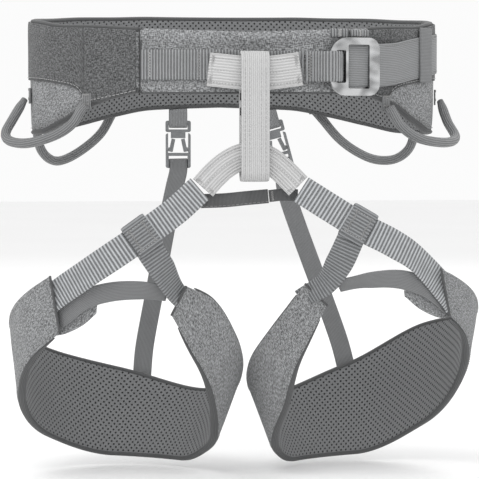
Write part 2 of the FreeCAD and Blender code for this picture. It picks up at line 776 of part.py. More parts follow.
def keeper_block(side):
    body = new_body(f"{side}_keeper_block")
    slot_depth = "Sizes.webbing_thickness + 2 * Sizes.keeper_room"
    tall = "Sizes.leg_webbing_width + 2 * Sizes.keeper_wall + 2 * Sizes.webbing_gap"
    pad(body, "Block", rectangle(body, "Outline", "Sizes.keeper_length", tall), KEEPER_DEPTH)
    slot = rectangle(body, "Slot_outline", "Sizes.keeper_length + 1",
                     "Sizes.leg_webbing_width + 2 * Sizes.webbing_gap", lift="Sizes.keeper_wall")
    pocket(body, "Slot", slot, slot_depth)
    fillet(body, "Corners", "Sizes.keeper_wall * 0.8",
           lambda e: upright(e) and e.Length > value_of(KEEPER_DEPTH) - 0.1)
    x, z = KEEPER_CENTRE[side]
    turn = Rotation(Vector(0, 1, 0), -KEEPER_SLOPE[side]) * Rotation(Vector(1, 0, 0), 90)
    depth = value_of(KEEPER_DEPTH)
    body.Placement = Placement(Vector(x + HANG, TIP_Y - KEEPER_FORWARD + depth / 2, z), turn)
    return body


# Cross webbing from the block down to the inner end of the pad: x, z, forward of the tip.
CROSS_WEBBING = {
    "left": [(-78.5, -131.5, 8.5), (-70, -144.5, 4.5), (-60, -161, -6.6)],
    "right": [(67.5, -125, 8.0), (60.5, -141, 4.0), (51.5, -157, -7)],
}
CROSS_TUCK = {"left": (237, -172), "right": (228, -168)}
CROSS_ROOM = 0.7
# Gap round the shell's end, where the webbing is notched to pass it.
NOTCH_ROOM = 0.2


def cross_webbing(side):
    path = [(Vector(x + HANG, TIP_Y - forward, z), front_facing(side, -14 * i))
            for i, (x, z, forward) in enumerate(CROSS_WEBBING[side])]
    angle, z = CROSS_TUCK[side]
    path.append((leg_point(side, angle, z, TUCK + CROSS_ROOM), wall_facing(side, angle)))
    strap = ribbon(path, size("leg_webbing_width") - 0.5, WEB)
    around_shell = leg_layer(side, -NOTCH_ROOM, LEG_SHELL + 2 * NOTCH_ROOM)
    return max(strap.cut(around_shell).Solids, key=lambda solid: solid.Volume)


# Thin elastic across the front of the thigh, and the padded tongue behind its outer end.
ELASTIC_IN = TUCK + WEB + 1.8
TONGUE_IN = ELASTIC_IN + WEB / 2 + 1.4
THIGH_TONGUE_BACK = TONGUE_IN + size("thigh_tongue_thickness")
THIGH_ELASTIC = {
    "left": [(-44, -186), (-54, -179), (-66, -167), (-80, -161), (-95, -160), (-110, -162.5)],
    "right": [(-44, -176), (-54, -168), (-66, -159), (-80, -153), (-95, -153.5), (-115, -159)],
}
THIGH_TONGUE = {
    "left": [(-39, -163, -197), (-52, -164, -194), (-64, -165, -187), (-72, -168, -178)],
    "right": [(-39, -158, -186), (-52, -158, -184), (-66, -156, -177), (-76, -157, -167)],
}


HELD_ANGLE = -46


def open_point(side, angle, height, inward):
    """As leg_point, but past the pad's front end, where the wall's slope is held."""
    held = max(angle, HELD_ANGLE)
    top, bottom = leg_edges(side, held)
    face = leg_rim(side, angle, height, (height - top) / (bottom - top))
    return face - leg_facing(side, angle) * inward


def thigh_elastic(side):
    path = [(open_point(side, a, z, ELASTIC_IN), wall_facing(side, max(a, HELD_ANGLE)))
            for a, z in THIGH_ELASTIC[side]]
    return ribbon(path, size("thigh_elastic_width"), WEB)


def thigh_tongue(side):
    sections = []
    for angle, top, low in THIGH_TONGUE[side]:
        sections.append([open_point(side, angle, top, TONGUE_IN),
                         open_point(side, angle, top, THIGH_TONGUE_BACK),
                         open_point(side, angle, low, THIGH_TONGUE_BACK),
                         open_point(side, angle, low, TONGUE_IN)])
    return loft(sections)


for side in SIDES:
    soft_part(f"{side}_leg_shell", leg_layer(side, 0, LEG_SHELL))
    soft_part(f"{side}_leg_foam", leg_layer(side, LEG_FOAM_FROM, LEG_FOAM, CORE_SKIP))
    soft_part(f"{side}_leg_lining", leg_layer(side, LEG_LINING_FROM, LEG_LINING, CORE_SKIP))
    soft_part(f"{side}_front_webbing", front_webbing(side))
    keeper_block(side)
    soft_part(f"{side}_cross_webbing", cross_webbing(side))
    soft_part(f"{side}_thigh_elastic", thigh_elastic(side))
    soft_part(f"{side}_thigh_tongue", thigh_tongue(side))

# ------------------------------------------------------ rear straps and clips

CLIP_TOP = {"left": (-40.7, -35.3), "right": (36.1, -36.5)}
CLIP_LEAN = {"left": 0.0, "right": 15.0}
CLIP_OUT = 4.4
PRONG_LEAN = 12


def clip_back(side):
    """Depth of the clip behind the origin: under the middle of the belt's pad."""
    x = CLIP_TOP[side][0] + HANG
    return HALF_DEPTH * math.sqrt(1 - (x / HALF_WIDTH) ** 2) + CLIP_OUT


def clip_frame(side):
    """Clip directions: X right, Y up along the strap, Z to the front; origin at the top bar."""
    x, z = CLIP_TOP[side]
    turn = Rotation(Vector(0, 1, 0), -CLIP_LEAN[side]) * Rotation(Vector(1, 0, 0), 90)
    return Placement(Vector(x + HANG, clip_back(side), z), turn)


MALE = "Sizes.clip_male_thickness"
FEMALE = "Sizes.clip_female_thickness"
HEAD = "(2 * Sizes.clip_bar + Sizes.clip_slot - 1.5)"
WAIST_HALF = 6.0
WAIST_LENGTH = 5.0
PRONG_ROOT = f"({HEAD} + {WAIST_LENGTH} + 0.6)"
ARM_TOP = f"({HEAD} + 1.0)"
ARM_INSIDE = "(Sizes.clip_width / 2 - 2)"
CROSSBAR_TOP = f"({PRONG_ROOT} + Sizes.prong_length + 0.6)"
CROSSBAR = 2.6
STRAP_SLOT = 2.6
FOOT = 7.5
CHANNEL = 2.6


def clip_base(side):
    """The hooked half's head: strap slot, shoulders and the waist that carries the prongs."""
    body = new_body(f"{side}_clip_base")
    pad(body, "Head", rectangle(body, "Head_outline", "Sizes.clip_width", HEAD, "0", f"-{HEAD} / 2"), MALE)
    fillet(body, "Head_corners", "1.6", upright)
    slot = rectangle(body, "Slot_outline", "Sizes.rear_strap_width + 1", "Sizes.clip_slot", "0",
                     "-Sizes.clip_bar - Sizes.clip_slot / 2")
    pocket(body, "Strap_slot", slot, MALE)
    waist = rectangle(body, "Waist_outline", str(2 * WAIST_HALF), str(WAIST_LENGTH + 1), "0",
                      f"-{HEAD} - {(WAIST_LENGTH - 1) / 2}")
    pad(body, "Waist", waist, MALE)
    body.Placement = clip_frame(side).multiply(Placement(Vector(0, 0, -size("clip_male_thickness") / 2),
                                                         Rotation()))
    return body


def clip_prong(side, hand):
    """A springy prong: its root sits under the waist and it leans out to its side."""
    sign = -1 if hand == "outer" and side == "left" or hand == "inner" and side == "right" else 1
    body = new_body(f"{side}_clip_prong_{hand}")
    outline = rectangle(body, "Outline", "Sizes.prong_width", "Sizes.prong_length", "0",
                        "-Sizes.prong_length / 2")
    pad(body, "Prong", outline, MALE)
    tip = rectangle(body, "Tip_outline", "Sizes.prong_width", "3.4", str(sign * 0.9),
                    "-Sizes.prong_length + 1.7")
    pad(body, "Tip", tip, MALE)
    fillet(body, "Tip_round", "0.8",
           lambda e: upright(e) and e.CenterOfMass.y < -size("prong_length") + 0.1)
    root = value_of(PRONG_ROOT)
    lean = Placement(Vector(sign * 3.9, -root, -size("clip_male_thickness") / 2),
                     Rotation(Vector(0, 0, 1), sign * PRONG_LEAN))
    body.Placement = clip_frame(side).multiply(lean)
    return body


def clip_female(side):
    """The open frame that holds the prongs, with the strap's slot and channel below."""
    body = new_body(f"{side}_clip_frame")
    tall = f"({CROSSBAR_TOP} + {CROSSBAR} + {STRAP_SLOT} + {FOOT} - {ARM_TOP})"
    pad(body, "Frame", rectangle(body, "Outline", "Sizes.clip_width - 0.4", tall, "0",
                                 f"-{ARM_TOP} - {tall} / 2"), FEMALE)
    fillet(body, "Corners", "1.8", upright)
    window_tall = f"({CROSSBAR_TOP} - {ARM_TOP})"
    window = rectangle(body, "Window_outline", f"2 * {ARM_INSIDE}", f"{window_tall} + 2", "0",
                       f"-{ARM_TOP} - {window_tall} / 2 + 1")
    pocket(body, "Window", window, FEMALE)
    slot = rectangle(body, "Slot_outline", "Sizes.rear_strap_width + 1", str(STRAP_SLOT), "0",
                     f"-{CROSSBAR_TOP} - {CROSSBAR} - {STRAP_SLOT / 2}")
    pocket(body, "Strap_slot", slot, FEMALE)
    channel = rectangle(body, "Channel_outline", "Sizes.rear_strap_width + 1", f"{FOOT} + 2", "0",
                        f"-{CROSSBAR_TOP} - {CROSSBAR} - {STRAP_SLOT} - {FOOT / 2} - 1",
                        f"{FEMALE} - {CHANNEL}")
    pocket(body, "Strap_channel", channel, str(CHANNEL))
    body.Placement = clip_frame(side).multiply(Placement(Vector(0, 0, -size("clip_female_thickness") / 2),
                                                         Rotation()))
    return body


def belt_tab(side):
    """The webbing tab that hangs the clip from the belt: a flat loop round the clip's top bar."""
    depth = f"({MALE} + 2 * Sizes.webbing_thickness + 1.2)"
    body = loop_body(f"{side}_belt_tab", depth, "Sizes.tab_length", "Sizes.webbing_thickness",
                     "Sizes.rear_strap_width")
    bar = size("clip_bar") + 1.0 + WEB
    middle = Vector(-size("rear_strap_width") / 2, size("tab_length") / 2 - bar, 0)
    turn = Rotation(Vector(0, 0, 1), Vector(0, 1, 0), Vector(1, 0, 0), "ZYX")
    body.Placement = clip_frame(side).multiply(Placement(middle, turn))
    return body


# Rear strap rows below the clip: x, y behind the origin, z. The last lies on the leg pad.
REAR_STRAP = {
    "left": [(-44.5, 101, -92), (-52, 90, -124), (-62, 76, -172), (-71.5, 64.5, -218)],
    "right": [(49.5, 101, -95), (58, 90, -124), (74, 74, -172), (88, 64, -214)],
}
STRAP_ROOM = 0.5
STRAP_END = {"left": [(101, 3), (100.5, 14)], "right": [(89, 3), (88, 14)]}


def rear_strap(side):
    frame_of = clip_frame(side)
    below = value_of(f"{CROSSBAR_TOP} + {CROSSBAR} + {STRAP_SLOT}")
    out = size("clip_female_thickness") / 2 - CHANNEL + STRAP_ROOM + WEB / 2
    face = frame_of.Rotation.multVec(Vector(0, 0, 1))
    path = [(frame_of.multVec(Vector(0, -below - 0.4, out)), face),
            (frame_of.multVec(Vector(0, -below - FOOT - 3, out)), face)]
    for x, y, z in REAR_STRAP[side]:
        path.append((Vector(x + HANG, y, z), Vector(0, -1, 0)))
    for angle, down in STRAP_END[side]:
        height = leg_edges(side, angle)[0] - down
        path.append((leg_point(side, angle, height, -WEB_GAP - 0.5 - WEB / 2),
                     wall_facing(side, angle) * -1))
    return ribbon(path, size("rear_strap_width"), WEB)


for side in SIDES:
    belt_tab(side)
    clip_base(side)
    for hand in ("outer", "inner"):
        clip_prong(side, hand)
    clip_female(side)
    soft_part(f"{side}_rear_strap", rear_strap(side))

# ------------------------------------------------------------ check and write

doc.recompute()
named = [o for o in doc.Objects if o.TypeId in ("PartDesign::Body", "Part::Feature")]
for thing in doc.Objects:
    if "Invalid" in thing.State or "Error" in thing.State:
        raise RuntimeError(f"{thing.Name} is {thing.State}")
for part in named:
    shape = part.Shape
    if shape.isNull() or not shape.isValid() or shape.Volume <= 0:
        raise RuntimeError(f"{part.Label} has no valid solid")

os.makedirs("parts", exist_ok=True)
for part in named:
    part.Shape.exportStep(os.path.join("parts", f"{part.Label}.step"))
print(len(named), "parts written")
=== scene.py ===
"""Climbing harness: the soft goods, hardware finishes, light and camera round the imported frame."""
import math

import bpy
import numpy as np
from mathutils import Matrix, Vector, noise


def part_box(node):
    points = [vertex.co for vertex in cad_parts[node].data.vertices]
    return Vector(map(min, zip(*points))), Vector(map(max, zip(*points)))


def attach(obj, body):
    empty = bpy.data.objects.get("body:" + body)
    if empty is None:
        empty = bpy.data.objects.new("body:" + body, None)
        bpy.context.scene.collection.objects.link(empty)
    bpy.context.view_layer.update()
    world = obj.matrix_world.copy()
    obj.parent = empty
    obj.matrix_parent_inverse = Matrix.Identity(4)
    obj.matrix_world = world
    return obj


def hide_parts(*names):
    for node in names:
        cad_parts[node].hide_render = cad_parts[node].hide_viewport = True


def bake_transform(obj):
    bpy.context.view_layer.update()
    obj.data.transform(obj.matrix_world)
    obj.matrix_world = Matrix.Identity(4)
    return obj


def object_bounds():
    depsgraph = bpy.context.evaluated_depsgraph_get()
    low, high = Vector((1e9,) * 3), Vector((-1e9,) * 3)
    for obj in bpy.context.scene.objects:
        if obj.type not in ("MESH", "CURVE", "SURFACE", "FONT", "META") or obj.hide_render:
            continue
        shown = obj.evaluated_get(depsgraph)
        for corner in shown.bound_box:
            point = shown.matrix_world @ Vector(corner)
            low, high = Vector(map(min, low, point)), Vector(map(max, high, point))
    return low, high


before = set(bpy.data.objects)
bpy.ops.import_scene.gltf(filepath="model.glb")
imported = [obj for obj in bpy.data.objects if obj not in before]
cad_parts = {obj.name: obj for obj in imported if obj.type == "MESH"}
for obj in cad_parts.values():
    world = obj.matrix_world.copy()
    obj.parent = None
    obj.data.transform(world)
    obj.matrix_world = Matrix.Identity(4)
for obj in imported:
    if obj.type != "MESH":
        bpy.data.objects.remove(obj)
cad_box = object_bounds()

MM = 0.001
SIDES = {"left": -1, "right": 1}
FRONT = Vector((0, -1, 0))
UP = Vector((0, 0, 1))


def mm(x, y, z):
    return Vector((x, y, z)) * MM


# ------------------------------------------------------------------ shading


class Shade:
    """A node material with short ways to add and join nodes. Pattern sizes are in metres of UV."""

    def __init__(self, name, roughness, metallic=0.0, sheen=0.0):
        self.material = bpy.data.materials.new(name)
        self.material.use_nodes = True
        self.tree = self.material.node_tree
        self.surface = self.tree.nodes["Principled BSDF"]
        self.surface.inputs["Roughness"].default_value = roughness
        self.surface.inputs["Metallic"].default_value = metallic
        self.surface.inputs["Sheen Weight"].default_value = sheen
        self.surface.inputs["Sheen Roughness"].default_value = 0.5

    def node(self, kind, inputs=None, **settings):
        made = self.tree.nodes.new(kind)
        for key, value in settings.items():
            setattr(made, key, value)
        for key, value in (inputs or {}).items():
            if isinstance(value, bpy.types.NodeSocket):
                self.tree.links.new(value, made.inputs[key])
            else:
                made.inputs[key].default_value = value
        return made

    def place(self, size_u, size_v, turn=0.0, source="UV"):
        """Coordinates in which one unit is size_u along and size_v across."""
        coordinates = self.node("ShaderNodeTexCoord")
        turned = self.node("ShaderNodeMapping", {"Vector": coordinates.outputs[source],
                                                 "Rotation": (0, 0, turn)})
        return self.node("ShaderNodeMapping", {"Vector": turned.outputs[0],
                                               "Scale": (1 / size_u, 1 / size_v, 1 / size_v)}).outputs[0]

    def speckle(self, size_u, size_v, detail=2.0, source="UV"):
        return self.node("ShaderNodeTexNoise", {"Vector": self.place(size_u, size_v, source=source),
                                                "Scale": 1.0, "Detail": detail}).outputs[0]

    def ribs(self, pitch, direction="X", distortion=0.0, turn=0.0):
        return self.node("ShaderNodeTexWave", {"Vector": self.place(pitch * 3.18, pitch * 3.18, turn),
                                               "Scale": 1.0, "Distortion": distortion},
                         bands_direction=direction).outputs["Fac"]

    def dots(self, pitch, radius):
        """1 in round holes on a staggered grid, 0 between them."""
        cells = self.node("ShaderNodeTexVoronoi",
                          {"Vector": self.place(pitch, pitch, math.pi / 4), "Scale": 1.0,
                           "Randomness": 0.0}).outputs["Distance"]
        return self.node("ShaderNodeMapRange", {"Value": cells, "From Min": radius / pitch * 1.25,
                                                "From Max": radius / pitch * 0.8}).outputs[0]

    def blend(self, share, a, b, kind="MIX"):
        made = self.node("ShaderNodeMix", data_type="RGBA", blend_type=kind)
        for socket, value in ((made.inputs[0], share), (made.inputs[6], a), (made.inputs[7], b)):
            if isinstance(value, bpy.types.NodeSocket):
                self.tree.links.new(value, socket)
            else:
                socket.default_value = value
        return made.outputs[2]

    def maths(self, kind, a, b):
        return self.node("ShaderNodeMath", {0: a, 1: b}, operation=kind).outputs[0]

    def stretch(self, value, low, high):
        """Contrast: low becomes 0 and high becomes 1."""
        return self.node("ShaderNodeMapRange", {"Value": value, "From Min": low,
                                                "From Max": high}).outputs[0]

    def colour(self, value):
        self.tree.links.new(value, self.surface.inputs["Base Color"])

    def bump(self, height, strength, distance=0.4 * MM):
        made = self.node("ShaderNodeBump", {"Height": height, "Strength": strength, "Distance": distance})
        self.tree.links.new(made.outputs[0], self.surface.inputs["Normal"])


def grey(value, tint=0.0):
    """A grey of that reflectance; tint above 0 is bluer."""
    return (value * (1 - tint), value, value * (1 + tint), 1.0)


def heather(name, low, high, tint=0.02):
    """Woven heather fabric: short light threads among dark ones in both directions."""
    shade = Shade(name, 0.92, sheen=0.12)
    along = shade.speckle(2.6 * MM, 0.75 * MM)
    across = shade.speckle(0.75 * MM, 2.2 * MM)
    fibres = shade.stretch(shade.maths("ADD", along, across), 0.84, 1.18)
    mottle = shade.stretch(shade.speckle(14 * MM, 9 * MM), 0.3, 0.7)
    cloth = shade.blend(fibres, grey(low, tint), grey(high, tint))
    shade.colour(shade.blend(0.16, cloth, shade.blend(mottle, grey(low, tint), grey(high, tint))))
    weave = shade.maths("MULTIPLY", shade.ribs(0.9 * MM), shade.ribs(0.9 * MM, "Y"))
    shade.bump(shade.maths("ADD", weave, fibres), 0.6)
    return shade.material


def perforated(name, cloth, hole):
    """Knit lining with rows of punched dots."""
    shade = Shade(name, 0.85, sheen=0.1)
    holes = shade.dots(3.3 * MM, 0.72 * MM)
    fuzz = shade.stretch(shade.speckle(1.1 * MM, 1.1 * MM, 3), 0.25, 0.75)
    knit = shade.blend(fuzz, grey(cloth * 0.86, 0.02), grey(cloth * 1.12, 0.02))
    shade.colour(shade.blend(holes, knit, grey(hole)))
    shade.bump(shade.maths("SUBTRACT", shade.maths("MULTIPLY", fuzz, 0.3), holes), 0.8, 0.8 * MM)
    return shade.material


def ribbed(name, low, high, pitch, direction="X", strength=0.7, roughness=0.75, tint=0.02, wander=0.4):
    """Webbing with ribs across it (X) or along it (Y), and a fine thread grain."""
    shade = Shade(name, roughness, sheen=0.08)
    ribs = shade.ribs(pitch, direction, wander)
    grain = shade.stretch(shade.speckle(0.5 * MM, 1.4 * MM, 3), 0.25, 0.75)
    worn = shade.stretch(shade.speckle(11 * MM, 6 * MM), 0.3, 0.75)
    stripes = shade.blend(shade.stretch(ribs, 0.25, 0.8), grey(low, tint), grey(high, tint))
    flecked = shade.blend(shade.maths("MULTIPLY", grain, 0.35), stripes, grey(high * 1.05, tint))
    shade.colour(shade.blend(shade.maths("MULTIPLY", worn, 0.18), flecked, grey(low, tint)))
    shade.bump(shade.maths("ADD", ribs, shade.maths("MULTIPLY", grain, 0.3)), strength, 0.5 * MM)
    return shade.material


def moulded(name, value):
    """Moulded plastic with a soft grain."""
    shade = Shade(name, 0.42)
    grain = shade.speckle(0.8 * MM, 0.8 * MM, 3, source="Object")
    scuff = shade.stretch(shade.speckle(7 * MM, 7 * MM, 4, source="Object"), 0.35, 0.7)
    shade.colour(shade.blend(scuff, grey(value * 0.86, 0.03), grey(value * 1.08, 0.03)))
    shade.bump(grain, 0.12, 0.2 * MM)
    return shade.material


def metal(name, value, roughness, streak):
    """Bright aluminium with fine polishing lines, and broad lighter and darker patches of painted reflection
    in its colour.
    """
    shade = Shade(name, roughness, metallic=1.0)
    lines = shade.speckle(streak, 0.25 * MM, 3, source="Object")
    # painted reflection: broad soft patches of lighter and darker colour stand in for reflected light
    painted_reflection_mask = shade.stretch(shade.speckle(16 * MM, 9 * MM, 1, source="Object"), 0.38, 0.62)
    painted_reflection_colour = shade.blend(painted_reflection_mask, grey(value * 0.5, 0.01), grey(value * 1.15, 0.01))
    shade.colour(shade.blend(shade.maths("MULTIPLY", lines, 0.35), painted_reflection_colour, grey(value * 0.7, 0.01)))
    shade.bump(lines, 0.05, 0.1 * MM)
    return shade.material


def thread(name, value):
    shade = Shade(name, 0.6, sheen=0.2)
    twist = shade.ribs(0.5 * MM, "X", 1.0, 0.6)
    shade.colour(shade.blend(twist, grey(value * 0.8), grey(value)))
    shade.bump(twist, 0.4)
    return shade.material


LIGHT = heather("heather_light", 0.07, 0.43)
DARK = heather("heather_dark", 0.02, 0.19)
MESH = perforated("mesh_lining", 0.185, 0.008)
BINDING = ribbed("edge_binding", 0.05, 0.1, 0.8 * MM, "Y", 0.4)
BELT_WEB = ribbed("belt_webbing_ribs", 0.08, 0.34, 2.3 * MM, "X", 0.9)
TAIL_WEB = ribbed("tail_webbing_ribs", 0.16, 0.27, 1.3 * MM, "Y", 0.5)
STRIPED = ribbed("striped_webbing", 0.07, 0.5, 2.9 * MM, "X", 0.8, tint=0.03)
CROSS_WEB = ribbed("cross_webbing_ribs", 0.08, 0.27, 2.5 * MM, "X", 0.8, tint=0.03)
WHITE = ribbed("white_webbing", 0.4, 0.54, 1.5 * MM, "Y", 0.6, tint=0.0)
WHITE_RIBS = ribbed("white_sleeve", 0.4, 0.58, 2.1 * MM, "Y", 0.7, tint=0.0)
CROSS_DARK = ribbed("cross_strap_cloth", 0.05, 0.12, 1.0 * MM, "X", 0.4)
ELASTIC = ribbed("elastic_ribs", 0.13, 0.22, 1.1 * MM, "Y", 0.5)
TUBE = ribbed("gear_tube_braid", 0.1, 0.24, 1.7 * MM, "Y", 0.8, roughness=0.5)
PLASTIC = moulded("clip_plastic", 0.2)
POLISHED = metal("polished_aluminium", 0.44, 0.26, 5 * MM)
SATIN = metal("satin_aluminium", 0.36, 0.34, 3 * MM)
PALE_THREAD = thread("pale_thread", 0.45)
GREY_THREAD = thread("grey_thread", 0.3)
BLACK_THREAD = thread("black_thread", 0.012)

# --------------------------------------------------------------- mesh makers


def curve_through(rows, steps):
    """A Catmull-Rom curve through rows of numbers, with steps samples in each span."""
    rows = [np.array(row, float) for row in rows]
    rows = [2 * rows[0] - rows[1], *rows, 2 * rows[-1] - rows[-2]]
    samples = []
    for a, b, c, d in zip(rows, rows[1:], rows[2:], rows[3:]):
        for step in range(steps):
            k = step / steps
            samples.append(0.5 * (2 * b + (c - a) * k + (2 * a - 5 * b + 4 * c - d) * k * k
                                  + (3 * b - a - 3 * c + d) * k ** 3))
    return samples + [rows[-2]]


def smooth_value(rows, at):
    """The values of a table at its first column, by a monotone cubic through its rows."""
    xs = [row[0] for row in rows]
    at = min(max(at, xs[0]), xs[-1])
    i = max(k for k in range(len(xs) - 1) if xs[k] <= at)
    values = []
    for column in range(1, len(rows[0])):
        ys = [row[column] for row in rows]
        slopes = [(ys[k + 1] - ys[k]) / (xs[k + 1] - xs[k]) for k in range(len(xs) - 1)]

        def lean(k):
            before, after = slopes[max(k - 1, 0)], slopes[min(k, len(slopes) - 1)]
            return 0.0 if before * after <= 0 else 2 * before * after / (before + after)

        span = xs[i + 1] - xs[i]
        k = (at - xs[i]) / span
        values.append(ys[i] * (1 + 2 * k) * (1 - k) ** 2 + ys[i + 1] * k * k * (3 - 2 * k)
                      + span * (lean(i) * k * (1 - k) ** 2 + lean(i + 1) * k * k * (k - 1)))
    return values


def mesh_object(name, points, faces, material):
    """An object with a mesh and a material of its own."""
    mesh = bpy.data.meshes.new(name)
    mesh.from_pydata([tuple(p) for p in points], [], faces)
    mesh.materials.append(material)
    made = bpy.data.objects.new(name, mesh)
    bpy.context.collection.objects.link(made)
    return made


def skin(name, rings, uvs, material, closed=False):
    """A closed smooth mesh through rings of points, with end caps unless the rings meet."""
    count = len(rings[0])
    points = [p for ring in rings for p in ring]
    faces = []
    spans = len(rings) if closed else len(rings) - 1
    for i in range(spans):
        j = (i + 1) % len(rings)
        for k in range(count):
            m = (k + 1) % count
            faces.append((i * count + k, i * count + m, j * count + m, j * count + k))
    if not closed:
        faces.append(tuple(range(count))[::-1])
        faces.append(tuple((len(rings) - 1) * count + k for k in range(count)))
    made = mesh_object(name, points, faces, material)
    layer = made.data.uv_layers.new(name="UVMap")
    flat = [uv for ring in uvs for uv in ring]
    end_u = max(uv[0] for uv in flat)
    for polygon in made.data.polygons:
        wraps = closed and polygon.vertices[0] >= (len(rings) - 1) * count
        for loop, vertex in zip(polygon.loop_indices, polygon.vertices):
            u, v = flat[vertex]
            if wraps and vertex < count:
                u = end_u + (rings[0][0] - rings[-1][0]).length
            layer.data[loop].uv = (u, v)
        polygon.use_smooth = True
    return made


def soft_section(thickness, power=8.0, samples=10, crown=None):
    """A flat section with round edges: rows of (share of width, height above the middle)."""
    shares = [0.5 - 0.5 * math.cos(math.pi * i / samples) for i in range(samples + 1)]

    def section(along):
        half = (thickness(along) if callable(thickness) else thickness) / 2
        front = [(s, half * (1 - abs(2 * s - 1) ** power) ** (1 / power)) for s in shares]
        back = [(s, -n) for s, n in front[-2:0:-1]]
        if crown:
            front = [(s, n + crown(s)) for s, n in front]
        return front + back

    return section


def band(name, edges, section, material, relief=None, closed=False):
    """A strip between low and high edge points; edges holds (low, high, facing) rows."""
    rings, uvs, run = [], [], 0.0
    last = None
    for i, (low, high, facing) in enumerate(edges):
        middle = (low + high) / 2
        run += (middle - last).length if last else 0.0
        last = middle
        width = (high - low).length
        ring, uv = [], []
        for share, out in section(i / (len(edges) - 1)):
            extra = relief(run, share, out) if relief else 0.0
            ring.append(low + (high - low) * share + facing * (out * MM + extra * MM))
            uv.append((run, share * width))
        rings.append(ring)
        uvs.append(uv)
    return skin(name, rings, uvs, material, closed)


def strap_edges(rows, width, steps=8, narrow=None):
    """Edge rows of a strap through (centre, facing) rows; lengths in millimetres."""
    samples = curve_through([(*centre, *facing) for centre, facing in rows], steps)
    centres = [Vector(row[:3]) for row in samples]
    edges = []
    for i, row in enumerate(samples):
        along = (centres[min(i + 1, len(centres) - 1)] - centres[max(i - 1, 0)]).normalized()
        facing = Vector(row[3:])
        facing = (facing - along * facing.dot(along)).normalized()
        half = width * (narrow(i / (len(samples) - 1)) if narrow else 1.0) / 2 * MM
        across = facing.cross(along) * half
        edges.append((centres[i] - across, centres[i] + across, facing))
    return edges


def resample(edges, spacing):
    """The same edge rows at an even spacing, for ribs that are real relief."""
    middles = [(low + high) / 2 for low, high, _ in edges]
    lengths = [0.0]
    for a, b in zip(middles, middles[1:]):
        lengths.append(lengths[-1] + (b - a).length)
    count = max(2, round(lengths[-1] / (spacing * MM)))
    rows, k = [], 0
    for step in range(count + 1):
        at = lengths[-1] * step / count
        while k < len(lengths) - 2 and lengths[k + 1] < at:
            k += 1
        share = (at - lengths[k]) / (lengths[k + 1] - lengths[k])
        rows.append(tuple(p.lerp(q, share) for p, q in zip(edges[k], edges[k + 1])))
    return rows


def ribs_relief(pitch, depth):
    """Ribs across a strap, as relief on its front."""
    def relief(run, share, out):
        edge = min(1.0, min(share, 1 - share) * 12)
        return depth * edge * (0.5 + 0.5 * math.cos(2 * math.pi * run / (pitch * MM))) * (out > 0)
    return relief


def wrinkles(size, depth, seed):
    """Slow soft unevenness of a padded face."""
    def relief(run, share, out):
        point = Vector((run / (size * MM), share * 2.2, seed + (3.0 if out < 0 else 0.0)))
        edge = min(1.0, min(share, 1 - share) * 8)
        return depth * edge * noise.noise(point) * (1 if out > 0 else -1)
    return relief


def cord_of(name, points, radius, material, flat=1.0, facings=None, sides=10):
    """A tube through points; flat squeezes it towards its facing."""
    rings, uvs, run = [], [], 0.0
    for i, point in enumerate(points):
        before, after = points[max(i - 1, 0)], points[min(i + 1, len(points) - 1)]
        along = (after - before).normalized()
        facing = facings[i] if facings else (UP if abs(along.z) < 0.8 else FRONT)
        facing = (facing - along * facing.dot(along)).normalized()
        across = facing.cross(along)
        thick = radius(i / (len(points) - 1)) if callable(radius) else radius
        squeeze = flat(i / (len(points) - 1)) if callable(flat) else flat
        run += (point - before).length if i else 0.0
        turns = [2 * math.pi * k / sides for k in range(sides)]
        rings.append([point + (across * math.cos(t) + facing * math.sin(t) * squeeze) * thick * MM
                      for t in turns])
        uvs.append([(run, abs(t - math.pi) * thick * MM) for t in turns])
    return skin(name, rings, uvs, material)


def line_on(edges, share, lift):
    """Points and facings along a band at a share of its width, lifted off its middle (mm)."""
    points = [low.lerp(high, share) + facing * lift * MM for low, high, facing in edges]
    return points, [facing for _, _, facing in edges]


def piping(name, edges, share, lift, radius, material, flat=1.0):
    points, facings = line_on(edges, share, lift)
    return cord_of(name, points, radius, material, flat=flat, facings=facings, sides=8)


def threads(name, segments, radius, material):
    """Many short stitches as one mesh: each a thread that dips at both ends."""
    points, faces, uvs = [], [], []
    sides = 6
    for start, end, facing in segments:
        along = (end - start).normalized()
        across = facing.cross(along).normalized()
        length = (end - start).length
        base = len(points)
        for share, swell in ((0.0, 0.25), (0.12, 0.8), (0.5, 1.0), (0.88, 0.8), (1.0, 0.25)):
            for k in range(sides):
                t = 2 * math.pi * k / sides
                side = across * math.cos(t) + facing * (math.sin(t) - (0.6 if swell < 0.5 else 0.0))
                points.append(start.lerp(end, share) + side * radius * swell * MM)
                uvs.append((share * length, t * radius * MM))
        for ring in range(4):
            for k in range(sides):
                a = base + ring * sides + k
                b = base + ring * sides + (k + 1) % sides
                faces.append((a, b, b + sides, a + sides))
        faces.append(tuple(base + k for k in range(sides))[::-1])
        faces.append(tuple(base + 4 * sides + k for k in range(sides)))
    made = mesh_object(name, points, faces, material)
    layer = made.data.uv_layers.new(name="UVMap")
    for polygon in made.data.polygons:
        polygon.use_smooth = True
        for loop, vertex in zip(polygon.loop_indices, polygon.vertices):
            layer.data[loop].uv = uvs[vertex]
    return made


def seam(name, edges, share, lift, material, dash=2.2, gap=1.1, radius=0.28, first=0.0, last=1.0):
    """A row of stitches along a band."""
    rows = resample(edges, 0.8)
    rows = rows[round(first * (len(rows) - 1)):round(last * (len(rows) - 1)) + 1]
    points, facings = line_on(rows, share, lift)
    step = round((dash + gap) / 0.8)
    reach = max(1, round(dash / 0.8))
    segments = [(points[i], points[i + reach], facings[i]) for i in range(0, len(points) - reach, step)]
    return threads(name, segments, radius, material)


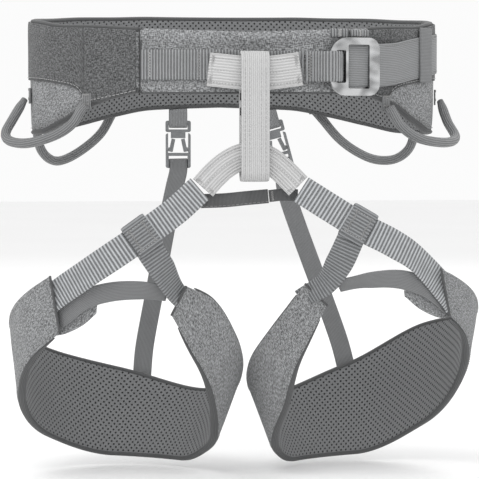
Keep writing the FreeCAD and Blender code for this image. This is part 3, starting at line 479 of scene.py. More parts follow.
def tack(name, edges, at, width, material, lift, low=0.08, high=0.92, rows=9, radius=0.3):
    """A dense zigzag bar tack across a band, centred at a share of its length."""
    rows_of = resample(edges, 0.5)
    middle = round(at * (len(rows_of) - 1))
    reach = max(1, round(width / 0.5 / 2))
    segments = []
    for k in range(rows):
        a = low + (high - low) * k / rows
        b = low + (high - low) * (k + 0.5) / rows
        c = low + (high - low) * (k + 1) / rows
        first = rows_of[max(middle - reach, 0)]
        second = rows_of[min(middle + reach, len(rows_of) - 1)]
        corner = [row[0].lerp(row[1], s) + row[2] * lift * MM
                  for row, s in ((first, a), (second, b), (first, c))]
        segments.append((corner[0], corner[1], first[2]))
        segments.append((corner[1], corner[2], first[2]))
    return threads(name, segments, radius, material)


def fit(piece, body, *nodes, slot=None, fill=None):
    """Rides the piece on its body and hides the CAD nodes it stands for."""
    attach(piece, body)
    if nodes:
        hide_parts(*nodes)
    return piece


# ---------------------------------------------------------------- waist belt

HALF_WIDTH, HALF_DEPTH = 151.0, 105.0
# Belt edges: angle from the front, height of the top edge, height of the bottom edge.
BELT_EDGES = [(0, 29.5, -13), (30, 32.4, -13), (47, 35, -22.9), (59, 35.9, -35.1), (75, 40, -44),
              (95, 43, -45), (115, 44.9, -44), (131, 47.1, -38), (145, 48, -30.9),
              (158, 49, -25.2), (180, 49, -22.9)]
PAD_START, PAD_END = 27, 329
PANEL_OUT = 8.6
LEFT_PANEL = [[(31.4, -14.5), (38, -18), (49, -23)],
              [(49, -21), (50.2, -14.5), (53, -10), (59, -7.2), (75, -4), (96, -3)]]
RIGHT_PANEL = [[(35, -15.5), (40, -18), (44.5, -21)],
               [(44.5, -19), (45.7, -13.5), (48.5, -10), (55, -7), (70, -4), (96, -3)]]
TONGUE_RISE = [(-31, 0.3), (4, 0.3), (9, 2.0), (14, 4.6), (19, 7.2), (24, 8.95), (90, 8.95)]
TONGUE = 5.0
BUCKLE_ANGLE = 28.5
WEB = 1.3
WEB_GAP = 0.25
BELT_WEB_LIFT = 0.55


def even(first, last, steps):
    return [first + i * (last - first) / steps for i in range(steps + 1)]


def belt_edges(angle):
    turn = abs(angle) if abs(angle) <= 180 else 360 - abs(angle)
    return smooth_value(BELT_EDGES, turn)


def belt_normal(angle):
    a = math.radians(angle)
    return Vector((HALF_DEPTH * math.sin(a), -HALF_WIDTH * math.cos(a), 0)).normalized()


def belt_point(angle, out, height):
    a = math.radians(angle)
    line = Vector((HALF_WIDTH * math.sin(a), -HALF_DEPTH * math.cos(a), 0))
    return (line + belt_normal(angle) * out + UP * height) * MM


def belt_band(angles, out, low_inset=0.0, high_inset=0.0, low_of=None):
    rows = []
    for angle in angles:
        top, bottom = belt_edges(angle)
        bottom = low_of(angle) if low_of else bottom
        rows.append((belt_point(angle, out, bottom + low_inset), belt_point(angle, out, top - high_inset),
                     belt_normal(angle)))
    return rows


def end_taper(full, thin, reach):
    """Thickness that swells from thin to full within reach of either end."""
    def thickness(along):
        k = min(1.0, min(along, 1 - along) / reach)
        return thin + (full - thin) * math.sqrt(k * (2 - k))
    return thickness


def waist_pad():
    angles = even(PAD_START, PAD_END, 220)
    shell = band("belt_pad", belt_band(angles, 4.3), soft_section(end_taper(6.8, 3.0, 0.02), 3.4, 16),
                 LIGHT, wrinkles(26, 0.5, 1.0))
    fit(shell, "waist", "waist_shell", "waist_foam", slot="belt_light", fill=0.6)
    lining = band("belt_lining", belt_band(even(PAD_START + 0.4, PAD_END - 0.4, 220), 1.1, 1.6, 1.6),
                  soft_section(1.3, 3.0, 16), MESH, wrinkles(30, 0.3, 5.0))
    fit(lining, "waist", "waist_lining", slot="mesh_lining", fill=0.4)
    whole = belt_band(angles, 4.0)
    for label, share in (("top", 0.992), ("bottom", 0.008)):
        fit(piping(f"belt_binding_{label}", whole, share, 0.0, 2.1, BINDING, 1.6), "waist",
            slot="belt_dark")
        place = 0.955 if label == "top" else 0.045
        fit(seam(f"belt_binding_stitch_{label}", whole, place, 3.25, GREY_THREAD), "waist",
            slot="belt_dark")


def belt_back_seams():
    """Stitched channels round the back of the belt, past the side panels."""
    rows = belt_band(even(98, 262, 160), 7.75)
    for label, share in (("high", 0.72), ("low", 0.3)):
        fit(seam(f"belt_channel_{label}", rows, share, 0.05, GREY_THREAD, radius=0.3), "waist",
            slot="belt_light")
    for angle in (99, 261):
        low, high, facing = belt_band([angle], 7.75)[0]
        rows = [(low.lerp(high, k), low.lerp(high, k) + UP * MM, facing) for k in even(0.06, 0.94, 40)]
        fit(seam(f"belt_upright_seam_{angle}", rows, 0.0, 0.0, GREY_THREAD, radius=0.3), "waist",
            slot="belt_light")


def side_panels():
    for side, runs in (("left", LEFT_PANEL), ("right", RIGHT_PANEL)):
        sign = SIDES[side]
        for i, run in enumerate(runs):
            angles = [sign * a for a in even(run[0][0], run[-1][0], 50)]
            rows = belt_band(angles, 8.4, 0.0, 0.8, lambda a: smooth_value(run, abs(a))[0])
            thickness = end_taper(1.5, 1.0, 0.03)
            piece = band(f"{side}_panel_{'front' if i == 0 else 'hip'}", rows,
                         soft_section(thickness, 5.0, 14), DARK, wrinkles(22, 0.35, 7.0 + i))
            nodes = [f"{side}_side_panel"] if i == 0 else []
            fit(piece, "waist", *nodes, slot="belt_dark", fill=0.3)
            fit(seam(f"{side}_panel_stitch_{i}", rows, 0.035, 1.0, PALE_THREAD), "waist",
                slot="belt_light")
            fit(piping(f"{side}_panel_hem_{i}", rows, 0.004, -0.1, 0.75, BINDING), "waist",
                slot="belt_dark")


def tongue_back(angle):
    return smooth_value(TONGUE_RISE, angle)[0]


def front_panel():
    rows = []
    for angle in even(-30.4, 34.5, 120):
        top, bottom = belt_edges(angle)
        out = tongue_back(angle) + TONGUE / 2
        rows.append((belt_point(angle, out, bottom - 1.5), belt_point(angle, out, top + 0.8),
                     belt_normal(angle)))

    def crown(share):
        bead = 1.5 * math.exp(-((share - 0.9) / 0.085) ** 2)
        groove = -0.9 * math.exp(-((share - 0.765) / 0.02) ** 2)
        hem = 0.7 * math.exp(-((share - 0.07) / 0.06) ** 2)
        return bead + groove + hem

    piece = band("front_tongue", rows, soft_section(4.4, 4.0, 30, crown), LIGHT, wrinkles(24, 0.35, 11.0))
    fit(piece, "waist", "front_panel", slot="belt_light", fill=0.5)
    for label, share, lift in (("top", 0.775, 1.7), ("bottom", 0.13, 2.35)):
        fit(seam(f"tongue_stitch_{label}", rows, share, lift, GREY_THREAD), "waist", slot="belt_light")
    fit(piping("tongue_edge_low", rows, 0.006, 0.2, 1.3, BINDING), "waist", slot="belt_dark")
    low, high, facing = rows[0]
    end = [(low, low.lerp(high, k), facing) for k in even(0, 1, 20)]
    fit(piping("tongue_edge_left", end, 1.0, 1.2, 1.2, BINDING), "waist", slot="belt_dark")


def belt_webbing():
    rise = [(-30, 6.2), (-10, 6.0), (4, 5.2), (15, 5.0)]
    rows = [(belt_point(a, tongue_back(a) + TONGUE + WEB_GAP + BELT_WEB_LIFT + WEB / 2,
                        smooth_value(rise, a)[0]), belt_normal(a)) for a in even(-30, 15, 18)]
    edges = strap_edges(rows, 22.5)
    fine = resample(edges, 0.35)
    piece = band("belt_webbing_front", fine, soft_section(1.1, 8, 10), BELT_WEB, ribs_relief(2.3, 0.45))
    fit(piece, "waist", "belt_webbing", slot="belt_webbing")
    for label, at, width, shade in (("end", 0.055, 2.4, PALE_THREAD), ("middle", 0.36, 1.6, GREY_THREAD),
                                    ("inner", 0.47, 5.0, GREY_THREAD)):
        fit(tack(f"belt_tack_{label}", edges, at, width, shade, 1.05), "waist", slot="belt_webbing")


waist_pad()
belt_back_seams()
side_panels()
front_panel()
belt_webbing()

# -------------------------------------------------------- buckle and its straps

TONGUE_HIGH = 8.95
UNDER_FROM = TONGUE + WEB_GAP
BACK_PLATE_FROM = UNDER_FROM + WEB + WEB_GAP
UPPER_FROM = BACK_PLATE_FROM + 1.6 + WEB_GAP
FRAME_FROM = UPPER_FROM + WEB + 0.35
OVER_FROM = FRAME_FROM + 2.6 + 1.2
BUCKLE_LEFT = -42.5 / 2
FOLD_CENTRE = BUCKLE_LEFT + 5.7 + 1.3
BUCKLE_Z = 4.8


def buckle_place(right, out, up=0.0):
    normal = belt_normal(BUCKLE_ANGLE)
    along = Vector((-normal.y, normal.x, 0))
    centre = belt_point(BUCKLE_ANGLE, TONGUE_HIGH, BUCKLE_Z)
    return centre + (along * right + normal * out + UP * up) * MM


def buckle_strap():
    """The belt strap's end, folded round the buckle's left bar and sewn down."""
    out = belt_normal(BUCKLE_ANGLE)
    right = Vector((-out.y, out.x, 0))
    under, over = UNDER_FROM + WEB / 2, OVER_FROM + WEB / 2
    middle, reach = (under + over) / 2, (over - under) / 2
    rows = [(buckle_place(BUCKLE_LEFT - 6, under), -out), (buckle_place(FOLD_CENTRE - 3, under), -out),
            (buckle_place(FOLD_CENTRE, under), -out), (buckle_place(FOLD_CENTRE + reach, middle), right),
            (buckle_place(FOLD_CENTRE, over), out), (buckle_place(BUCKLE_LEFT - 1, over - 0.6), out)]
    for angle, lift in ((18.2, 3.6), (16.8, 1.5), (15.4, WEB_GAP + 0.4)):
        offset = tongue_back(angle) + UNDER_FROM + WEB + lift + WEB / 2
        rows.append((belt_point(angle, offset, BUCKLE_Z), belt_normal(angle)))
    edges = strap_edges(rows, 22.5)
    piece = band("buckle_strap_fold", resample(edges, 0.35), soft_section(1.1, 8, 10), BELT_WEB,
                 ribs_relief(2.3, 0.35))
    fit(piece, "waist", "buckle_strap", slot="belt_webbing")
    fit(tack("buckle_strap_tack", edges, 0.93, 3.2, GREY_THREAD, 0.95), "waist", slot="belt_webbing")


def adjusting_tail():
    """Wide webbing from the pad, round the back plate's bar and out again past the keeper."""
    out = belt_normal(BUCKLE_ANGLE)
    right = Vector((-out.y, out.x, 0))
    under, upper = UNDER_FROM + WEB / 2, UPPER_FROM + WEB / 2
    middle, reach = (under + upper) / 2, (upper - under) / 2
    rows = [(belt_point(47, 8.85 + WEB / 2, 7.5), -belt_normal(47)),
            (belt_point(41, 8.85 + 4.5, 6), -belt_normal(41)),
            (buckle_place(16, under + 0.3), -out), (buckle_place(8, under), -out),
            (buckle_place(-2.5, under), -out), (buckle_place(-2.5 - reach, middle), -right),
            (buckle_place(-2.5, upper), out), (buckle_place(10, upper, 0.5), out),
            (buckle_place(21, upper, 1.5), out), (belt_point(46, 12.65, 8), belt_normal(46))]
    for angle, z in ((54, 11), (62, 13.5), (71, 15.5), (80, 17), (89, 18)):
        rows.append((belt_point(angle, 9.9, z), belt_normal(angle)))
    edges = strap_edges(rows, 31.0, 10)
    piece = band("adjusting_tail", edges, soft_section(1.15, 8, 14), TAIL_WEB)
    fit(piece, "waist", "tail_webbing", slot="tail_webbing")
    for label, share in (("top", 0.94), ("bottom", 0.06)):
        fit(seam(f"tail_edge_stitch_{label}", edges, share, 0.62, GREY_THREAD, radius=0.22, first=0.45),
            "waist", slot="tail_webbing")


def keeper_and_hangers():
    """The elastic keeper of the tail, and the tab and sewn stack above the buckle."""
    keeper = [(belt_point(a, 11.4, -6), belt_point(a, 11.4, 36), belt_normal(a))
              for a in even(59, 68, 12)]
    piece = band("tail_keeper_band", keeper, soft_section(1.3, 6, 16), ELASTIC, ribs_relief(3.0, 0.2))
    fit(piece, "waist", "tail_keeper", slot="elastic")
    for label, first, last, bottom, top, out_mm, node in (
            ("hanger_loop", 22.5, 27.8, 26.5, 33, 14.9, "hanger_tab"),
            ("sewn_stack", 28.2, 34, 27, 32.5, 15.5, "sewn_end")):
        rows = [(belt_point(a, out_mm, bottom), belt_point(a, out_mm, top), belt_normal(a))
                for a in even(first, last, 14)]
        piece = band(label, rows, soft_section(1.3 if label == "hanger_loop" else 2.4, 5, 8), BELT_WEB,
                     ribs_relief(1.6, 0.3))
        fit(piece, "waist", node, slot="belt_webbing")
        fit(tack(f"{label}_tack", rows, 0.5, 2.6, PALE_THREAD, 1.2, 0.1, 0.9, 5), "waist",
            slot="belt_webbing")


buckle_strap()
adjusting_tail()
keeper_and_hangers()

# ------------------------------------------------------ belay loop and tie-ins

HANG = 6.0
BELAY_X = HANG - 2.5
BELAY_DEPTH, BELAY_HEIGHT, BELAY_THICK, BELAY_WIDTH = 17.5, 96.2, 2.5, 21.0
BELAY_TOP = 16.0
BELAY_BACK = -(HALF_DEPTH + 0.3 + UNDER_FROM + WEB + 3.2)
BELAY_Y = BELAY_BACK - BELAY_DEPTH / 2
TIE_IN_Y = BELAY_Y + 0.6
APEX_Y = BELAY_Y + 0.4
CROSS_Y = APEX_Y + 10.5


def oval_ring(depth, height, round_of, count):
    """Points and outward normals round a tall rounded loop, as (depth, height) pairs."""
    rows = []
    half_d, half_h = depth / 2, height / 2
    for corner, (sd, sh) in enumerate(((1, 1), (-1, 1), (-1, -1), (1, -1))):
        centre = (sd * (half_d - round_of), sh * (half_h - round_of))
        for k in range(count + 1):
            a = math.pi / 2 * (corner + k / count)
            rows.append((centre[0] + round_of * math.cos(a), centre[1] + round_of * math.sin(a),
                         math.cos(a), math.sin(a)))
        nxt = ((-1, 1), (-1, -1), (1, -1), (1, 1))[corner]
        start, goal = rows[-1], (nxt[0] * (half_d - round_of), nxt[1] * (half_h - round_of))
        a = math.pi / 2 * (corner + 1)
        goal = (goal[0] + round_of * math.cos(a), goal[1] + round_of * math.sin(a))
        steps = max(1, round(math.hypot(goal[0] - start[0], goal[1] - start[1]) / 3))
        for k in range(1, steps):
            rows.append((start[0] + (goal[0] - start[0]) * k / steps,
                         start[1] + (goal[1] - start[1]) * k / steps, math.cos(a), math.sin(a)))
    return rows


def belay_loop():
    middle = Vector((BELAY_X, BELAY_Y, BELAY_TOP - BELAY_HEIGHT / 2))
    edges = []
    for d, h, nd, nh in oval_ring(BELAY_DEPTH - BELAY_THICK, BELAY_HEIGHT - BELAY_THICK, 7.2, 10):
        point = middle + Vector((0, -d, h))
        facing = Vector((0, -nd, nh))
        half = Vector((BELAY_WIDTH / 2, 0, 0))
        edges.append(((point - half) * MM, (point + half) * MM, facing))

    def channels(share):
        return sum(-0.3 * math.exp(-((share - s) / 0.018) ** 2) for s in (0.13, 0.3, 0.7, 0.87))

    piece = band("belay_loop_webbing", edges, soft_section(2.3, 5, 28, channels), WHITE, closed=True)
    fit(piece, "belay_loop", "belay_loop", slot="white_webbing")
    for share in (0.13, 0.3, 0.7, 0.87):
        fit(seam(f"belay_stitch_{round(share * 100)}", edges, share, 1.05, PALE_THREAD, radius=0.26),
            "belay_loop", slot="white_webbing")
    for i, z in enumerate((-28.5, -17.5)):
        rows = [(mm(BELAY_X - 10.2 + k, BELAY_BACK - 2.7, z - 2.7),
                 mm(BELAY_X - 10.2 + k, BELAY_BACK - 2.7, z + 2.7), FRONT) for k in even(0, 6, 12)]
        fit(tack(f"belay_bar_tack_{i}", rows, 0.5, 5.6, BLACK_THREAD, 0.3, 0.02, 0.98, 10, 0.42),
            "belay_loop", slot="white_webbing")


def white_sleeve(name, rows, width, thickness, node):
    """A padded sleeve of white webbing with piped edges and two stitch rows."""
    edges = strap_edges(rows, width, 14)

    def crown(share):
        return 0.35 * math.cos((share - 0.5) * math.pi * 2) if 0.12 < share < 0.88 else 0.0

    piece = band(name, edges, soft_section(end_taper(thickness, thickness * 0.7, 0.03), 4, 24, crown),
                 WHITE_RIBS, wrinkles(14, 0.3, 21.0))
    fit(piece, "waist", node, slot="white_webbing", fill=0.5)
    for label, share in (("low", 0.02), ("high", 0.98)):
        fit(piping(f"{name}_piping_{label}", edges, share, 0.3, 0.95, WHITE), "waist", slot="white_webbing")
    for label, share in (("low", 0.12), ("mid", 0.5), ("high", 0.88)):
        fit(seam(f"{name}_stitch_{label}", edges, share, thickness * 0.5 + (0.35 if label == "mid" else 0),
                 PALE_THREAD, 1.5, 0.9, 0.26), "waist", slot="white_webbing")
    return edges


def over_belt_webbing(angle):
    out = tongue_back(angle) + UNDER_FROM + 0.3 + WEB + WEB_GAP + 1.5 + 0.4
    return belt_point(angle, out, 0).y / MM


def end_tacks(name, edges, ends, width, lift, count):
    """A bar tack at each end of a white sleeve."""
    for label, at in zip(("left", "right"), ends):
        fit(tack(f"{name}_tack_{label}", edges, at, width, PALE_THREAD, lift, 0.06, 0.94, count),
            "waist", slot="white_webbing")


def tie_ins():
    rows = [(-35, over_belt_webbing(-11), 2.5), (-26, over_belt_webbing(-8) - 4.0, 1.5),
            (-16, TIE_IN_Y + 1.2, 0.3), (-3, TIE_IN_Y, -0.5), (10, TIE_IN_Y + 1.0, 0),
            (22, over_belt_webbing(10.5) - 4.0, 1.5), (32.5, over_belt_webbing(14) - 0.4, 3)]
    rows = [(mm(x + HANG, y, z), FRONT) for x, y, z in rows]
    edges = white_sleeve("upper_tie_in", rows, 24.0, 3.0, "upper_tie_in_sleeve")
    end_tacks("upper_tie_in", edges, (0.04, 0.96), 2.6, 1.5, 12)
    left = [(-1, -60.5, 0), (-12.5, -62, 0.5), (-23, -67.5, 2), (-32, -75.5, 4), (-40, -84.5, 5)]
    right = [(8.5, -64, 0.5), (16.5, -70, 2), (24, -77, 4), (30.5, -83.5, 5)]
    rows = [(mm(x + HANG, APEX_Y + back, z), FRONT) for x, z, back in left[::-1] + right]
    edges = white_sleeve("lower_tie_in", rows, 18.5, 3.3, "lower_tie_in_sleeve")
    end_tacks("lower_tie_in", edges, (0.03, 0.97), 2.4, 1.6, 10)
    rows = [(mm(x + HANG, CROSS_Y, z), FRONT) for x, z in ((-41, -94.5), (-24, -94), (-8, -92.5), (9, -91))]
    edges = strap_edges(rows, 10.5)
    fit(band("cross_sleeve", edges, soft_section(2.1, 3, 12), CROSS_DARK, wrinkles(12, 0.25, 31.0)),
        "waist", "cross_strap_sleeve", slot="cross_strap", fill=0.5)
    fit(seam("cross_sleeve_stitch", edges, 0.12, 0.95, GREY_THREAD, radius=0.2), "waist",
        slot="cross_strap")
    rows = [(mm(x + HANG, CROSS_Y, z), FRONT) for x, z in ((9.6, -91), (20, -90), (31, -90.5))]
    edges = strap_edges(rows, 9.0)
    fit(band("cross_end", edges, soft_section(1.2, 6, 10), CROSS_DARK), "waist", "cross_strap_end",
        slot="cross_strap")
    fit(tack("cross_end_tack", edges, 0.12, 2.0, GREY_THREAD, 0.75, 0.1, 0.9, 6), "waist",
        slot="cross_strap")


belay_loop()
tie_ins()

# ---------------------------------------------------------------- gear loops

GEAR_LOOPS = {
    "front_left_gear_loop": [(-84, 0, -19), (-82, 10, -34), (-78.5, 18, -45), (-74, 18, -51),
                             (-65, 15, -52), (-54.5, 13, -46), (-49.5, 8, -37), (-48, 0, -24)],
    "rear_left_gear_loop": [(-112, 0, -28), (-113, 2, -50), (-118, 3, -63), (-125.5, 4, -68),
                            (-134, 3, -61), (-142, 1, -46), (-146.5, 0, -27)],
    "front_right_gear_loop": [(82.5, 0, -20), (79.5, 6, -36), (74, 14, -48), (64.5, 14, -52),
                              (52, 11, -49), (45.5, 7, -40), (43, 0, -25)],
    "rear_right_gear_loop": [(111, 0, -28), (113, 3, -51), (118, 4, -63), (125, 4, -68),
                             (133, 3, -65), (142, 1, -51), (150, 0, -27)],
}
LOOP_OUT = PANEL_OUT + 0.6 + 4.0


def gear_loops():
    for name, rows in GEAR_LOOPS.items():
        knots = [belt_point(angle, LOOP_OUT + out, z) for angle, out, z in rows]
        points = [Vector(p) for p in curve_through([tuple(k) for k in knots], 24)]
        count = len(points)
        facings = []
        for i in range(count):
            angle = rows[0][0] + (rows[-1][0] - rows[0][0]) * i / (count - 1)
            facings.append(belt_normal(angle))

        def radius(along):
            end = min(along, 1 - along)
            flare = 0.6 * math.exp(-(end / 0.05) ** 2)
            return 3.75 + flare

        def squeeze(along):
            end = min(along, 1 - along)
            return 1.0 - 0.4 * math.exp(-(end / 0.045) ** 2)

        dense = [Vector(p) for p in curve_through([tuple(p) for p in points[::4]], 24)]
        facings = [facings[min(count - 1, round(i * (count - 1) / (len(dense) - 1)))]
                   for i in range(len(dense))]
        tube = cord_of(f"{name}_tube", dense, radius, TUBE, flat=squeeze, facings=facings, sides=16)
        fit(tube, name, name, slot="gear_loop")
        for end, (angle, _, z) in (("a", rows[0]), ("b", rows[-1])):
            out = 0.4 + (PANEL_OUT if abs(angle) < 97 else 7.6)
            tab = [(belt_point(angle - 1.7, out, z + k), belt_point(angle + 1.7, out, z + k),
                    belt_normal(angle)) for k in even(-3, 9, 20)]
            piece = band(f"{name}_tab_{end}", tab, soft_section(1.3, 4, 8), TUBE)
            fit(piece, "waist", slot="tail_webbing")
            for spot, at in (("low", 0.35), ("high", 0.9)):
                fit(tack(f"{name}_tab_{end}_tack_{spot}", tab, at, 1.6, GREY_THREAD, 0.8, 0.15, 0.85, 5),
                    "waist", slot="tail_webbing")


gear_loops()

# ----------------------------------------------------------------- leg loops

LEG_FORWARD = 35.0
TOP_RADIUS, BOTTOM_RADIUS = 90.5, 77.5
TOP_SPREAD, BOTTOM_SPREAD = 91.8, 98.5
LEG_TOP = {
    "left": [(-48, -150), (-20, -172), (0, -187), (45, -217), (90, -237), (135, -252),
             (165, -243), (180, -229), (205, -200), (228, -168), (244, -157.5)],
    "right": [(-58, -146), (-25, -168), (0, -185), (45, -200), (90, -236), (135, -256),
              (165, -243), (180, -228), (205, -201), (220, -180), (233, -157)],
}
LEG_LOW = {
    "left": [(-53, -193), (-22, -220), (0, -246), (45, -285), (90, -304), (135, -306),
             (160, -295), (180, -281), (195, -258), (210, -233), (228, -207), (242, -180)],
    "right": [(-48, -183), (-21, -205), (0, -229), (45, -279), (90, -306), (135, -308),
              (160, -297), (180, -281), (200, -257), (212, -225), (222, -205), (236, -174)],
}
FRONT_WEBBING = {
    "left": [(-42.5, -85.5, 0, -5), (-59, -100, 5, 0), (-76, -112.4, 8.5, 0), (-85.5, -119.2, 8.5, 0),
             (-95, -126, 8.5, 0), (-108, -134.9, 6.5, 12), (-125, -147, -2, 25)],
    "right": [(33, -86, 0, -5), (46, -94.5, 5, 0), (64.5, -106.2, 8.5, 0), (74.3, -111.9, 8.5, 0),
              (84, -117.4, 8.5, 0), (101, -126, 5, 12), (121, -139, -2, 40)],
}
MOUTH = {"left": [(-47, -167), (-41, -177)], "right": [(-50, -165), (-44, -173)]}
CROSS_WEBBING = {
    "left": [(-80.1, -129.0, 8.5), (-78.5, -131.5, 8.5), (-70, -144.5, 4.5), (-60, -161, -6.6)],
    "right": [(68.7, -122.2, 8.0), (67.5, -125, 8.0), (60.5, -141, 4.0), (51.5, -157, -7)],
}
CROSS_TUCK = {"left": (237, -172), "right": (228, -168)}
CROSS_ROOM = 0.7
THIGH_ELASTIC = {
    "left": [(-44, -186), (-54, -179), (-66, -167), (-80, -161), (-95, -160), (-110, -162.5)],
    "right": [(-44, -176), (-54, -168), (-66, -159), (-80, -153), (-95, -153.5), (-112, -158)],
}
THIGH_TONGUE = {
    "left": [(-39, -163, -197), (-52, -164, -194), (-64, -165, -187), (-72, -168, -178)],
    "right": [(-39, -158, -186), (-52, -158, -184), (-66, -156, -177), (-76, -157, -167)],
}
KEEPER_CENTRE = {"left": (-85.5, -119.2), "right": (74.3, -111.9)}
KEEPER_SLOPE = {"left": 35.7, "right": -30.0}
TIP_Y = APEX_Y + 5
TUCK = 1.0 + WEB_GAP + WEB / 2 + 1.2
ELASTIC_IN = TUCK + WEB + 1.8
TONGUE_IN = ELASTIC_IN + WEB / 2 + 1.4


def leg_facing(side, angle):
    a = math.radians(angle)
    return Vector((SIDES[side] * math.cos(a), math.sin(a), 0))


def leg_rim(side, angle, height, low):
    spread = TOP_SPREAD + low * (BOTTOM_SPREAD - TOP_SPREAD)
    radius = TOP_RADIUS + low * (BOTTOM_RADIUS - TOP_RADIUS)
    centre = Vector((SIDES[side] * spread + HANG, -LEG_FORWARD, height))
    return centre + leg_facing(side, angle) * radius


def leg_edges(side, angle):
    return smooth_value(LEG_TOP[side], angle)[0], smooth_value(LEG_LOW[side], angle)[0]


def leg_point(side, angle, height, inward):
    top, bottom = leg_edges(side, angle)
    face = leg_rim(side, angle, height, (height - top) / (bottom - top))
    return face - leg_facing(side, angle) * inward


def open_point(side, angle, height, inward):
    """As leg_point, but past the pad's front end, where the wall's slope is held."""
    top, bottom = leg_edges(side, max(angle, -46))
    face = leg_rim(side, angle, height, (height - top) / (bottom - top))
    return face - leg_facing(side, angle) * inward


def wall_facing(side, angle):
    top, bottom = leg_edges(side, angle)
    slope = leg_rim(side, angle, top, 0) - leg_rim(side, angle, bottom, 1)
    outward = leg_facing(side, angle)
    return (outward - slope * (outward.dot(slope) / slope.dot(slope))).normalized()


def leg_band(side, inward, first=0.0, last=1.0, inset=0.0, steps=150):
    """Edge rows of the leg pad, some way inward of its outer face."""
    top_ends = LEG_TOP[side][0][0], LEG_TOP[side][-1][0]
    low_ends = LEG_LOW[side][0][0], LEG_LOW[side][-1][0]
    rows = []
    for share in even(first, last, steps):
        top_angle = top_ends[0] + (top_ends[1] - top_ends[0]) * share
        low_angle = low_ends[0] + (low_ends[1] - low_ends[0]) * share
        outward = wall_facing(side, (top_angle + low_angle) / 2)
        high = leg_rim(side, top_angle, leg_edges(side, top_angle)[0], 0) - outward * inward
        low = leg_rim(side, low_angle, leg_edges(side, low_angle)[1], 1) - outward * inward
        up = (high - low).normalized() * inset
        rows.append(((low + up) * MM, (high - up) * MM, outward))
    return rows


def front_facing(side, turn):
    a = math.radians(turn)
    return Vector((SIDES[side] * math.sin(a), -math.cos(a), 0))


def leg_pad(side, body):
    shell = band(f"{side}_leg_cover", leg_band(side, 0.6), soft_section(1.5, 4, 20), LIGHT,
                 wrinkles(30, 0.45, 41.0))
    fit(shell, body, f"{side}_leg_shell", slot="belt_light", fill=0.4)
    core = leg_band(side, 4.3, 0.05, 0.95, 0.5)
    pad = band(f"{side}_leg_padding", core, soft_section(end_taper(5.8, 1.2, 0.1), 3.4, 24), MESH,
               wrinkles(26, 0.4, 47.0))
    fit(pad, body, f"{side}_leg_foam", f"{side}_leg_lining", slot="mesh_lining", fill=0.6)
    rim = leg_band(side, 3.4, 0.02, 0.98)

    def rim_radius(along):
        return 0.5 + 1.4 * math.sqrt(min(1.0, min(along, 1 - along) / 0.12))

    for label, share in (("top", 0.995), ("bottom", 0.005)):
        fit(piping(f"{side}_leg_binding_{label}", rim, share, 0.0, rim_radius, BINDING, 1.65), body,
            slot="belt_dark")
    cover = leg_band(side, 0.0)
    for label, share in (("top", 0.94), ("bottom", 0.06)):
        fit(seam(f"{side}_leg_stitch_{label}", cover, share, 0.2, GREY_THREAD), body, slot="belt_light")
    for label, at in (("front", 0), ("inner", -1)):
        low, high, facing = cover[at]
        rows = [(low.lerp(high, k), low.lerp(high, k) + facing * MM, facing) for k in even(0, 1, 24)]
        fit(piping(f"{side}_mouth_hem_{label}", rows, 0.0, -0.4, 0.95, BINDING), body, slot="belt_dark")


def leg_straps(side, body):
    rows = [(mm(x + HANG, TIP_Y - forward, z), front_facing(side, turn))
            for x, z, forward, turn in FRONT_WEBBING[side]]
    rows += [(leg_point(side, angle, z, TUCK) * MM, wall_facing(side, angle)) for angle, z in MOUTH[side]]
    edges = strap_edges(rows, 21.0)
    piece = band(f"{side}_leg_strap", resample(edges, 0.42), soft_section(1.1, 8, 12), STRIPED,
                 ribs_relief(2.9, 0.45))
    fit(piece, body, f"{side}_front_webbing", slot="leg_webbing")
    rows = [(mm(x + HANG, TIP_Y - forward, z), front_facing(side, -14 * max(i - 1, 0)))
            for i, (x, z, forward) in enumerate(CROSS_WEBBING[side])]
    angle, z = CROSS_TUCK[side]
    rows.append((leg_point(side, angle, z, TUCK + CROSS_ROOM) * MM, wall_facing(side, angle)))
    edges = strap_edges(rows, 20.5, 12, lambda k: 1 - 0.32 * max(0.0, (k - 0.5) / 0.5))
    piece = band(f"{side}_cross_strap", resample(edges, 0.4), soft_section(1.1, 8, 12), CROSS_WEB,
                 ribs_relief(2.5, 0.4))
    fit(piece, body, f"{side}_cross_webbing", slot="leg_webbing")
    rows = [(open_point(side, a, z, ELASTIC_IN) * MM, wall_facing(side, max(a, -46)))
            for a, z in THIGH_ELASTIC[side]]
    edges = strap_edges(rows, 14.5, 12)
    piece = band(f"{side}_front_elastic", edges, soft_section(1.2, 7, 12), ELASTIC)
    fit(piece, body, f"{side}_thigh_elastic", slot="elastic")
    rows = []
    for angle, top, low in curve_through(THIGH_TONGUE[side], 12):
        rows.append((open_point(side, angle, low, TONGUE_IN + 1.7) * MM,
                     open_point(side, angle, top, TONGUE_IN + 1.7) * MM, wall_facing(side, max(angle, -46))))
    piece = band(f"{side}_padded_tongue", rows, soft_section(end_taper(3.4, 1.0, 0.25), 3, 14), LIGHT,
                 wrinkles(14, 0.3, 53.0))
    fit(piece, body, f"{side}_thigh_tongue", slot="belt_light", fill=0.5)


